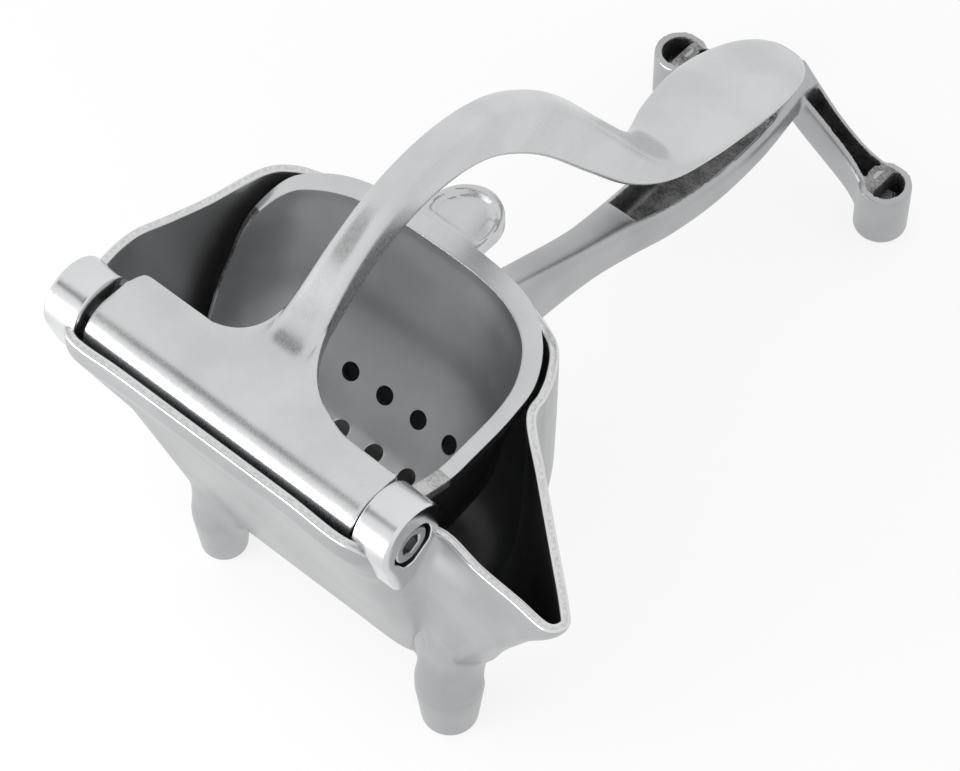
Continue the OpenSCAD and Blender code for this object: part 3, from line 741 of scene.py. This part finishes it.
def leg_section(station, side, inset=0.0, roof=0.0):
    share, top, bottom, width = station
    top, bottom = top * ridge_h + roof, bottom * ridge_h + 1.2 * inset
    y, z = squared(width * leg_w / 2 - inset, (top - bottom) / 2, 4, section_points)
    x = np.full(section_points, side * share * pad_span / 2)
    return np.column_stack([x, mix(ridge_y, cross_back, share) + y, (top + bottom) / 2 + z])


def stretch(section, stations, start, end, step, *rest):
    """Sections at even steps between two stations."""
    return [section(on_path(stations, u), *rest) for u in np.arange(start, end + 0.001, step)]


def pocket_section(u):
    """The pocket's section, its floor raised towards both ends."""
    station = on_path(handle_stations, u)
    rise = max(0, 1 - (u - pocket_start) / pocket_ramp) + max(0, 1 - (pocket_end - u) / pocket_ramp)
    return handle_section(station, web, 1.2 * web + rise**2 * leg_w / 2, 4)


def mesh_of(forms):
    """Forms that overlap, as one Blender mesh in millimetres."""
    points = np.vstack([form.points for form in forms])
    bases = np.cumsum([0] + [len(form.points) for form in forms])
    faces = [tuple(k + base for k in face) for form, base in zip(forms, bases) for face in form.faces]
    mesh = bpy.data.meshes.new("forms")
    mesh.from_pydata(points.tolist(), [], faces)
    mesh.polygons.foreach_set("material_index", [kind for form in forms for kind in form.finish])
    return mesh


def worked(mesh, kind, **settings):
    """The mesh after one modifier."""
    thing = linked("work", mesh)
    modifier = thing.modifiers.new("work", kind)
    for name, setting in settings.items():
        setattr(modifier, name, setting)
    bpy.context.view_layer.update()
    seen = thing.evaluated_get(bpy.context.evaluated_depsgraph_get())
    result = bpy.data.meshes.new_from_object(seen)
    bpy.data.objects.remove(thing)
    return result


def cut_from(mesh, forms):
    """The mesh less the forms."""
    tool = linked("tool", mesh_of(forms))
    mesh = worked(mesh, "BOOLEAN", operation="DIFFERENCE", solver="MANIFOLD", object=tool)
    bpy.data.objects.remove(tool)
    return mesh


def eased(mesh, rounds, blunt=0.15):
    """Fill the creases of an even mesh as molten metal does, and take a little off its edges."""
    points = np.array([vertex.co for vertex in mesh.vertices])
    edges = np.array([edge.vertices for edge in mesh.edges])
    count = np.bincount(edges.ravel(), minlength=len(points))[:, None]
    for _ in range(rounds):
        total = np.zeros_like(points)
        np.add.at(total, edges[:, 0], points[edges[:, 1]])
        np.add.at(total, edges[:, 1], points[edges[:, 0]])
        pull = total / count - points
        mesh.vertices.foreach_set("co", points.ravel())
        mesh.update()
        normals = np.array([normal.vector for normal in mesh.vertex_normals])
        lift = (pull * normals).sum(1)[:, None]
        points = points + 0.5 * pull * np.where(lift > 0, 1, blunt)
    mesh.vertices.foreach_set("co", points.ravel())
    mesh.update()
    return mesh


def form_of(mesh):
    """A form with the finishes of a mesh. Faces of more than four corners are split."""
    mesh.calc_loop_triangles()
    faces, finish = [], []
    for face in mesh.polygons:
        if len(face.vertices) <= 4:
            faces.append(tuple(face.vertices))
            finish.append(face.material_index)
    for split in mesh.loop_triangles:
        if len(mesh.polygons[split.polygon_index].vertices) > 4:
            faces.append(tuple(split.vertices))
            finish.append(mesh.polygons[split.polygon_index].material_index)
    return Form([vertex.co for vertex in mesh.vertices], faces, finish)


pad = [(pad_r - 1.4, 0), (pad_r - 0.5, 0.3), (pad_r, 1.2), (pad_r, 0.55 * pad_h), (pad_r, pad_h)]
recess = [(pad_r - web, 0.5 * pad_h), (pad_r - web, 1.5 * pad_h)]
handle_rings = stretch(handle_section, handle_stations, 1, 10, 0.25)
root = handle_section(handle_stations[0])
root[:, 1] = body_back * back_at(root[:, 2] / hinge_h) - 0.5 * wall
tail_parts = [bar([root, *handle_rings]), on_pad(-1, pad), on_pad(1, pad)]
tail_parts += [bar(stretch(leg_section, leg_stations, 0, 5, 0.2, side)) for side in (-1, 1)]
pocket = bar([pocket_section(u) for u in np.arange(pocket_start, pocket_end + 0.01, 0.1)])
channels = [
    bar(stretch(leg_section, leg_stations, 0.9, 5, 0.2, side, web, 4)) for side in (-1, 1)
]
hollows = [pocket, *channels, on_pad(-1, recess), on_pad(1, recess)]
tail = worked(mesh_of(tail_parts), "REMESH", mode="VOXEL", voxel_size=grid)
tail = cut_from(tail, hollows)
tail = eased(worked(tail, "REMESH", mode="VOXEL", voxel_size=grid), 14)
tail = form_of(tail)
hollow_trees = [form.tree() for form in hollows]
for number, face in enumerate(tail.faces):
    middle = Vector(tail.points[list(face)].mean(0))
    if min(gap_to(tree, middle, 2) for tree in hollow_trees) < skin_depth:
        tail.finish[number] = 1
bosses = []
for side, count, radius in ((-1, 40, 3.1), (1, 6, 3.4)):
    boss = [(radius, 0.45 * pad_h), (radius, 0.68 * pad_h), (radius - 0.4, 0.71 * pad_h)]
    bosses.append(on_pad(side, boss, count, 1))


def rough_cast(name, dark, light):
    """The skin that the sand leaves: granular, matt, with dark pits."""
    finish = new_finish(name)
    grains = 0.55 * finish.noise(0.7, 4, (1.4, 0.6, 1.4)) + 0.45 * finish.noise(5, 2)
    pits = finish.noise(1.6, 2).between(0.58, 0.66)
    colour = finish.blend(grains.between(0.35, 0.65), grey(dark), grey(light))
    return finish.metal(colour, 0.5 + 0.2 * (grains - 0.5), grains - 0.6 * pits, 0.1)


rough_skin = rough_cast("rough_skin", 96, 158)
cast_object(
    "base_tail",
    [tail, *bosses],
    [body_satin, rough_skin],
    "base",
    ["base_handle", "cross_foot"],
    sharp=50,
)

# Strainer: a second casting that lifts out of the trough. Its flat rim lies on the
# trough's back edge, its bowl is drilled with four rows of holes for the juice, and a
# dished tab at the back is the grip. The ends of the rim are left rough.
cup_half = 47.2
cup_back = 73
cup_depth = 57
cup_wall = 2.2
rim_t = 3.5
rim_side = 4.4
barrel_r = 9.5
seat_gap = 0.3
rim_round = 0.5
hole_d = 5.4
hole_pitch = 12
# Angle below the level, then places in pitches
hole_rows = [
    (41, (-2, -1, 0, 1, 2)),
    (53, (-1.5, -0.5, 0.5, 1.5)),
    (65, (-2, -1, 0, 1, 2)),
    (77, (-1.5, -0.5, 0.5, 1.5)),
]
tab_w = 21
tab_len = 16
tab_dish = 1.0
tab_lip = 0.6
cup_half_at = share_curve([(0, 1), (0.16, 0.985), (0.55, 0.93), (0.79, 0.8), (0.94, 0.64), (1, 0.5)])
cup_back_at = share_curve(
    [(0, 1), (0.16, 0.955), (0.4, 0.885), (0.55, 0.845), (0.79, 0.73), (0.94, 0.6), (1, 0.5)]
)


def cup_outline(z):
    t = (hinge_h - z) / cup_depth
    half, back = cup_half * cup_half_at(t), cup_back * cup_back_at(t)
    front = np.maximum(front_at(z), front_at(0.9 * hinge_h)) + 1.6 * wall + cup_wall
    centre = mix(front, back, 0.42)
    depth = back - centre
    side = np.minimum(half, 0.93 * cup_half)
    places = [0.985, 0.93, 0.8, 0.6, 0.35, 0, -0.35, -0.6, -0.8, -0.93, -0.985]
    return row_of(
        (-0.58 * side, front),
        (-0.3 * side, front),
        (0 * side, front),
        (0.45 * side, front),
        (0.8 * side, front),
        (0.97 * side, front + 0.05 * cup_half),
        (side, mix(front, centre, 0.31)),
        (mix(side, half, 0.5), mix(front, centre, 0.49)),
        (half, mix(front, centre, 0.76)),
        (half, centre),
        *[(x * half, back - depth + depth * arch(x)) for x in places],
        (-half, centre),
        (-mix(side, half, 0.75), mix(front, centre, 0.7)),
        (-0.89 * side, mix(front, centre, 0.36)),
        (-0.74 * side, front + 0.05 * cup_half),
    )


front_edge = hinge_h - 1.45 * barrel_r
rim_back = body_back - cup_back - seat_gap
edge_height = ring_curve(
    [front_edge] * 7
    + [hinge_h] * 12
    + [hinge_h - share * barrel_r for share in (0.45, 1.95, 3.7, 3.5, 2.7)]
    + [front_edge]
)
edge_width = ring_curve(
    [cup_wall] * 7
    + [rim_side] * 4
    + [mix(rim_side, rim_back, 0.45)]
    + [share * rim_back for share in (0.88, 1.03, 1, 1, 1, 1.03, 0.86, 0.5)]
    + [cup_wall] * 5
)
edge_drop = ring_curve([0] * 19 + [share * rim_t for share in (0.3, 0.8, 0.8, 0.5, 0)])
cup_u = np.arange(25 * columns_per_point) / columns_per_point
edge_z, edge_out, edge_cut = edge_height(cup_u), edge_width(cup_u), edge_drop(cup_u)
cup_floor = hinge_h - cup_depth
cup_low = hinge_h - 0.7 * cup_depth
CUP_OUT, CUP_IN, CUP_RIM, CUP_ROUGH, CUP_END = range(5)


def cup_ring(z, grow):
    return outline_at(cup_outline, cup_u, np.broadcast_to(z, cup_u.shape) * 1.0, -grow)


def cup_floor_ring(z, grow):
    """The bowl's lowest ring, drawn in towards the middle of its floor."""
    return mix(cup_ring(z + grow, grow), np.array([*cup_middle, z]), 0.15)


cup_middle = [0, 0.42 * cup_back]
depths = np.linspace(0.97, 0.7, 12)
outer_places = [(hinge_h - t * cup_depth, cup_wall) for t in depths]
outer_places += [
    (mix(edge_z - rim_t - 1, cup_low, t), cup_wall) for t in np.linspace(1, 0, 20)[1:]
]
outer_places.append((edge_z - rim_t, mix(cup_wall, edge_out, 0.2)))
outer_places.append((edge_z - rim_t - edge_cut, edge_out - 0.3))
rim_places = [(edge_z - rim_t - edge_cut + 0.3, edge_out)]
rim_places += [(edge_z - edge_cut - drop, edge_out - inset) for inset, drop in rounded(rim_round)]
rim_places.append((edge_z - 0.5 * edge_cut, 0.5 * edge_out))
rim_places += [(edge_z - drop, inset) for inset, drop in rounded(rim_round)[::-1]]
inner_places = [(mix(edge_z - rim_round, cup_low, t), 0) for t in np.linspace(0, 1, 24)[1:]]
inner_places += [(hinge_h - t * cup_depth, 0) for t in depths[::-1][1:]]
cup_bands = [(cup_floor_ring(cup_floor - cup_wall, cup_wall), CUP_OUT)]
for places, kind in ((outer_places, CUP_OUT), (rim_places, CUP_RIM), (inner_places, CUP_IN)):
    cup_bands += [(cup_ring(*place), kind) for place in places]
cup_bands.append((cup_floor_ring(cup_floor, 0), CUP_IN))
bowl = skinned(cup_bands, ([*cup_middle, cup_floor - cup_wall], [*cup_middle, cup_floor]))


def drill(x, angle):
    """A drill that points away from the hinge line, at an angle below the level."""
    slope = math.radians(angle)
    out = np.array([0, math.cos(slope), -math.sin(slope)])
    up = np.array([0, math.sin(slope), math.cos(slope)])
    turn = np.linspace(0, 2 * math.pi, 28, endpoint=False)
    circle = hole_d / 2 * (np.outer(np.cos(turn), [1, 0, 0]) + np.outer(np.sin(turn), up))
    start = np.array([x, 0, hinge_h])
    rings = [circle + start + out * (cup_depth + reach) for reach in (-3 * cup_wall, 0.4 * cup_depth)]
    return bar(rings)


def plate_ring(x, y, top, under):
    """Round a plate's section at y, along its top and back along its underside."""
    level = np.full(len(x), y)
    return np.vstack([np.column_stack([x, level, top]), np.column_stack([x, level, under])[::-1]])


def thumb_tab():
    """A plate that ends in a half circle, dished, with a bright raised lip round its end."""
    start = body_back - 0.8 * rim_back
    end = body_back + tab_len - 0.05
    tab_y = end - tab_w / 2
    rings = []
    stations = list(np.linspace(start, tab_y, 14)) + [
        tab_y + tab_w / 2 * math.sin(a) for a in np.radians(np.linspace(0, 88, 22))[1:]
    ]
    right_share = np.array([0.1, 0.3, 0.5, 0.66, 0.74, 0.82, 0.9, 0.97, 1])
    across_share = np.concatenate([-right_share[::-1], right_share])
    for y in stations:
        past = max(y - tab_y, 0)
        half = math.sqrt(max((tab_w / 2) ** 2 - past**2, 0.2))
        x = half * across_share
        from_middle = np.hypot(x, past) / (tab_w / 2)
        lip = np.clip((from_middle - 0.72) / 0.14, 0, 1)
        lip = lip * lip * (3 - 2 * lip)
        back_share = np.clip((y - start - 5.5) / 2, 0, 1)
        dish = -tab_dish * back_share * (1 - lip)
        lift = tab_lip * back_share * lip
        edge = np.clip((1 - abs(across_share)) / 0.1, 0, 1)
        top = hinge_h - 0.12 + dish + lift - 0.5 * (1 - edge) ** 2
        under = hinge_h - rim_t + 0.6 * (1 - edge) ** 2
        rings.append(plate_ring(x, y, top, np.minimum(under, top - 0.4)))
    return bar(rings, CUP_RIM)


tab = thumb_tab()
for number, kind in enumerate(bowl.finish):
    u = number % len(cup_u) / columns_per_point
    if kind == CUP_RIM and 6.2 < u < 7.9:
        bowl.finish[number] = CUP_END
    if kind == CUP_RIM and 18.9 < u < 20.2:
        bowl.finish[number] = CUP_ROUGH
drills = [drill(k * hole_pitch, angle) for angle, places in hole_rows for k in places]
cup_satin = satin("cup_satin", 150, 168, 0.4)
cup_bright = satin("cup_bright", 196, 206, 0.3)
cup_end = rough_cast("cup_end", 158, 204)
cast_object(
    "strainer",
    [form_of(cut_from(mesh_of([bowl]), drills)), tab],
    [cup_satin, inside_with_beak_shade, cup_bright, rough_skin, cup_end],
    "base",
    ["strainer_basket"],
)

# Lever: one casting, polished all over. A hollow barrel turns between the lugs; a flange on
# its top carries an arch that runs back over the bowl, dips and ends in a dished spoon
# for the thumb above the cross foot.
barrel_half = lug_in - 1.5
barrel_round = 0.5
flange_low = 5
flange_end = 0.9
flange_slope = 0.15
arch_rise = 41
lever_len = 227
arm_half = 4.8
arm_deep = 15.5
spoon_w = 30
spoon_h = 58
spoon_dish = 1.3
arm_fillet = 14
fillet_upright = 0.5
flange_at = share_curve(
    [(-1, 8.6), (-0.955, 12.6), (-0.9, 13), (-0.43, 13), (-0.22, 15.6), (0.22, 15.2), (0.36, 13)]
    + [(0.64, 8.9), (1, 8.6)]
)


def arch_z(rise):
    return hinge_h + rise * arch_rise


# Place along the lever, height, half width, half depth, tilt in degrees, squareness
arm_stations = np.array(
    [
        [0.035, arch_z(0.135), 2.3 * arm_half, 0.13 * arm_deep + 1.125, 18, 4],
        [0.085, arch_z(0.235), 1.65 * arm_half, 0.20 * arm_deep, 34, 4],
        [0.125, arch_z(0.37), 1.33 * arm_half, 0.26 * arm_deep, 42, 4],
        [0.19, arch_z(0.61), 1.1 * arm_half, 0.37 * arm_deep, 37, 4],
        [0.26, arch_z(0.77), arm_half, 0.47 * arm_deep, 25, 4],
        [0.335, arch_z(0.802), arm_half, 0.5 * arm_deep, 2, 4],
        [0.405, arch_z(0.70), arm_half, 0.525 * arm_deep, -22, 4],
        [0.465, arch_z(0.47), 1.05 * arm_half, 0.52 * arm_deep, -38, 4],
        [0.525, arch_z(0.13), 1.15 * arm_half, 0.5 * arm_deep, -47, 4],
        [0.60, arch_z(-0.43), 1.35 * arm_half, 0.46 * arm_deep, -49, 3.4],
        [0.665, arch_z(-0.90), 1.65 * arm_half, 0.41 * arm_deep, -44, 3],
        [0.72, mix(arch_z(-1.13), spoon_h, 0.5), 0.33 * spoon_w, 0.34 * arm_deep, -22, 2.6],
        [0.77, spoon_h + 0.02 * arm_deep, 0.44 * spoon_w, 0.28 * arm_deep, -2, 2.3],
        [0.83, spoon_h, 0.5 * spoon_w, 0.25 * arm_deep, -4, 2.2],
        [0.885, spoon_h - 0.14 * arm_deep, 0.5 * spoon_w, 0.22 * arm_deep, -10, 2.2],
        [0.94, spoon_h - 0.36 * arm_deep, 0.43 * spoon_w, 0.18 * arm_deep, -16, 2.2],
        [0.975, spoon_h - 0.54 * arm_deep, 0.32 * spoon_w, 0.14 * arm_deep, -20, 2.2],
        [0.993, spoon_h - 0.64 * arm_deep, 0.19 * spoon_w, 0.09 * arm_deep, -20, 2.2],
    ]
)
spoon_tip = [0, lever_len, arm_stations[-1][1] - 0.12 * arm_deep]


def hub_outline(x, inset=0.0):
    """Barrel and flange across the hinge, from the join under the flange round to it."""
    top, low = barrel_r - inset, flange_low + inset
    edge = flange_at(x / barrel_half) - inset
    join = math.sqrt(top**2 - low**2)
    turn = np.linspace(math.atan2(low, join), -1.5 * math.pi, 72)
    barrel = np.column_stack([top * np.cos(turn), top * np.sin(turn)])
    bend = np.radians(np.linspace(90, 0, 6))
    r = flange_end
    out = max(edge - r, join * 0.6)
    flat_y, flat_drop = np.linspace(0, out, 14)[1:-1], np.linspace(0, flange_slope, 14)[1:-1]
    flat = np.column_stack([flat_y, top - flat_drop])
    upper = np.column_stack([out + r * np.cos(bend), top - flange_slope - r + r * np.sin(bend)])
    lower = np.column_stack([out + r * np.cos(bend[::-1]), low + r - r * np.sin(bend[::-1])])
    under_y = np.linspace(out, max(join, 0.3 + join * 0.97), 5)[1:-1]
    under = np.column_stack([under_y, np.full(3, low)])
    return np.vstack([barrel, flat, upper, lower, under]) + [0, hinge_h]


def hub():
    """Barrel and flange from left to right, and back through the bore."""
    rings = []
    for step, drop in rounded(barrel_round):
        rings.append(across(-barrel_half + step, hub_outline(-barrel_half, drop)))
    rings += [across(x, hub_outline(x)) for x in np.linspace(-0.99, 0.99, 110)[1:-1] * barrel_half]
    for step, drop in rounded(barrel_round)[::-1]:
        rings.append(across(barrel_half - step, hub_outline(barrel_half, drop)))
    hole = round_hole(bore_r, hub_outline(0))
    rings += [across(barrel_half, hole), across(-barrel_half, hole)]
    return loft(rings, closed=True)


def arm_ring(u):
    """A section of the arm, square to its run, with the spoon's dish pressed into its top."""
    place, height, half, deep, tilt, power = on_path(arm_stations, u)
    x, t = squared(half, deep, power, 64)
    dish = min(max((place - 0.70) / 0.08, 0), 1) * min(max((0.985 - place) / 0.06, 0), 1)
    t = t - spoon_dish * dish * np.maximum(1 - (x / (0.8 * half)) ** 2, 0) ** 1.5 * (t > 0)
    lean = math.radians(tilt)
    return np.column_stack([x, place * lever_len - t * math.sin(lean), height + t * math.cos(lean)])


barrel = hub()
barrel_tree = barrel.tree()
arm_rings = [arm_ring(u) for u in np.arange(17, -0.01, -0.1)]
arm_skin = flared(arm_rings, barrel_tree, arm_fillet, fillet_upright)
arm = loft(arm_skin, ends=(spoon_tip, "flat"))
lever_satin = satin("lever_satin", 196, 208, 0.27, grain=0.004, streak=(1, 2, 2))
cast_object(
    "lever",
    [barrel, arm],
    [lever_satin],
    "lever",
    ["lever_hub", "lever_arm"],
    sharp=50,
)

# Press jaw: the plate under the barrel that squeezes the half lemon. It is cast with the
# lever and has upright ribs on the side that presses.
jaw_t = 4.5
jaw_w = 74
jaw_angle = math.radians(62)
jaw_len = (cup_depth - seat_gap - jaw_t / 2 * math.cos(jaw_angle)) / math.sin(jaw_angle)
jaw_half_at = share_curve([(0, 0.5), (0.55, 0.5), (0.75, 0.43), (0.9, 0.32), (1, 0.18)])
jaw_start = 0.13
jaw_round = 1.2
rib_count = 5
rib_end = 0.86


def jaw_surface(x, along):
    """Depth of the pressing side at a place, with its ribs."""
    pitch = jaw_w / (rib_count + 1)
    near = abs((x + pitch / 2) % pitch - pitch / 2)
    ribbed = abs(x) < (rib_count - 0.2) / 2 * pitch
    rib = np.clip((jaw_t / 4 + 0.5 - near) / 0.8, 0, 1) * ribbed
    fade = np.clip((rib_end - along) / 0.03, 0, 1)
    return jaw_t / 2 + jaw_t / 2 * rib * fade


def jaw():
    """The plate from the barrel down to its edge, turned to its angle."""
    rings = []
    for along in np.concatenate([np.linspace(jaw_start, 0.97, 60), [0.985, 0.995, 1]]):
        half = jaw_w * jaw_half_at(along)
        share = np.concatenate([[-1], np.linspace(-0.98, 0.98, 119), [1]])
        x = share * half
        edge = np.clip((1 - abs(share)) * half / jaw_round, 0, 1)
        end = np.clip((1 - along) * jaw_len, 0, 1)
        round_off = 0.35 + 0.65 * np.sqrt(1 - (1 - np.minimum(edge, end)) ** 2)
        top, under = jaw_t / 2 * round_off, -jaw_surface(x, along) * round_off
        x, y, z = plate_ring(x, along * jaw_len, top, under).T
        c, s = math.cos(jaw_angle), math.sin(jaw_angle)
        rings.append(np.column_stack([x, y * c + z * s, z * c - y * s]) + [0, 0, hinge_h])
    return bar(rings)


cast_object("jaw", [jaw()], [lever_satin], "lever", ["press_jaw"], sharp=40)

# Hinge shaft and screws: a plain steel pin through both lugs and the barrel, threaded at
# its ends for two socket screws whose heads sit in the lugs.
head_r = 5.7
head_h = 4.6
head_round = 0.7
head_edge = 0.3
socket_r = 5.5 / math.sqrt(3)
socket_deep = 3
thread_r = 2.5
thread_len = 12
shaft_half = hinge_w / 2 - sunk_deep


def steel(name, level, roughness):
    """Turned and plated steel: fine rings round the hinge line."""
    finish = new_finish(name)
    turned = finish.noise(0.35, 2, (1, 12, 12))
    clouds = finish.noise(6, 3)
    colour = finish.blend(clouds.between(0.35, 0.65), grey(level - 18, -2), grey(level, -2))
    return finish.metal(colour, roughness + 0.12 * (turned - 0.5), turned, 0.02)


def screw(side):
    """A screw from its thread's end to its head, and down into the hexagon socket."""
    turn = np.linspace(0, 2 * math.pi, 72, endpoint=False)
    circle = np.column_stack([np.cos(turn), np.sin(turn)])
    sector = (turn + math.pi / 6) % (math.pi / 3) - math.pi / 6
    hexagon = circle * (math.cos(math.pi / 6) / np.cos(sector))[:, None]
    face = shaft_half + head_h
    profile = [(circle * thread_r, shaft_half - thread_len), (circle * thread_r, shaft_half)]
    profile.append((circle * (head_r - head_edge), shaft_half))
    profile.append((circle * head_r, shaft_half + head_edge))
    for inset, drop in rounded(head_round):
        profile.append((circle * (head_r - inset), face - drop))
    profile.append((circle * (socket_r + 0.45), face))
    profile.append((mix(hexagon, circle, 0.4) * (socket_r + 0.2), face - 0.12))
    profile += [(hexagon * socket_r, face - 0.4), (hexagon * socket_r, face - socket_deep)]
    rings = [across(side * x, ring + [0, hinge_h]) for ring, x in profile]
    return bar(rings)


screw_steel = steel("screw_steel", 190, 0.25)
cast_object("screws", [screw(-1), screw(1)], [screw_steel], "base", ["hinge_screws"], sharp=30)
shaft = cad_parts["hinge_shaft"]
shaft.data.materials.clear()
shaft.data.materials.append(steel("shaft_steel", 170, 0.22))

# Studio: white paper under the squeezer, a white room round it, one soft box in front to
# the left, a grey card that the polished metal mirrors as a soft dark band, and the camera
# that looks down on it from the front right.


def placed(point):
    return Vector(point) * MM + Vector((hinge[0], hinge[1], 0))


def aimed(thing, place, target):
    """Move it to a place in millimetres, facing another."""
    thing.location = placed(place)
    thing.rotation_euler = (placed(target) - thing.location).to_track_quat("-Z", "Y").to_euler()


def sheet(name, size, finish):
    """A square of paper or card, level until it is aimed."""
    half = size / 2
    mesh = bpy.data.meshes.new(name)
    corners = [(-half, -half, 0), (half, -half, 0), (half, half, 0), (-half, half, 0)]
    mesh.from_pydata(corners, [], [(0, 1, 2, 3)])
    mesh.materials.append(finish.owner)
    thing = linked(name, mesh)
    return thing


def seen_directly(finish):
    """1 where it is seen straight on, in a reflection or through glass."""
    path = finish.node("ShaderNodeLightPath")
    share = path.out("Is Camera Ray") + path.out("Is Glossy Ray") + path.out("Is Transmission Ray")
    return finish.maths("MINIMUM", share, 1.0)


world = Finish(bpy.data.worlds.new("studio"))
room_light = 0.9 + 0.1 * seen_directly(world)
room = world.node("ShaderNodeBackground", None, {"Color": grey(255), "Strength": room_light})
world.surface(room.out("Background"), "World")
bpy.context.scene.world = world.owner

paper = new_finish("paper")
matt = paper.node("ShaderNodeBsdfDiffuse", None, {"Color": grey(248)}).out("BSDF")
glow = paper.node("ShaderNodeEmission", None, {"Color": grey(255), "Strength": 1.0}).out("Emission")
both = paper.node("ShaderNodeMixShader", None, {0: 0.8 * seen_directly(paper), 1: matt, 2: glow})
paper.surface(both.out("Shader"))
floor = sheet("floor", 6, paper)
floor.location = placed((0, 0, 0))

card = new_finish("card")
card.surface(card.node("ShaderNodeBsdfDiffuse", None, {"Color": grey(120)}).out("BSDF"))
aimed(sheet("upper_card", 190 * MM, card), (-256, -270, 574), (0, 0, 106))

lamp = bpy.data.lights.new("front_box", "AREA")
lamp.shape = "RECTANGLE"
lamp.size, lamp.size_y = 420 * MM, 190 * MM
lamp.energy = 1.9
front_box = linked("front_box", lamp)
front_box.visible_camera = False
aimed(front_box, (-170, -330, 105), (0, 0, 105))

camera = bpy.data.cameras.new("camera")
camera.lens = 139.01
camera.sensor_width = 36
camera.clip_end = 10
viewer = linked("camera", camera)
viewer.location = placed((394.7, -361.0, 857.9))
viewer.rotation_euler = (math.radians(90 - 54.24), 0, math.radians(41.13))
bpy.context.scene.camera = viewer
bpy.context.scene.view_settings.view_transform = "Standard"
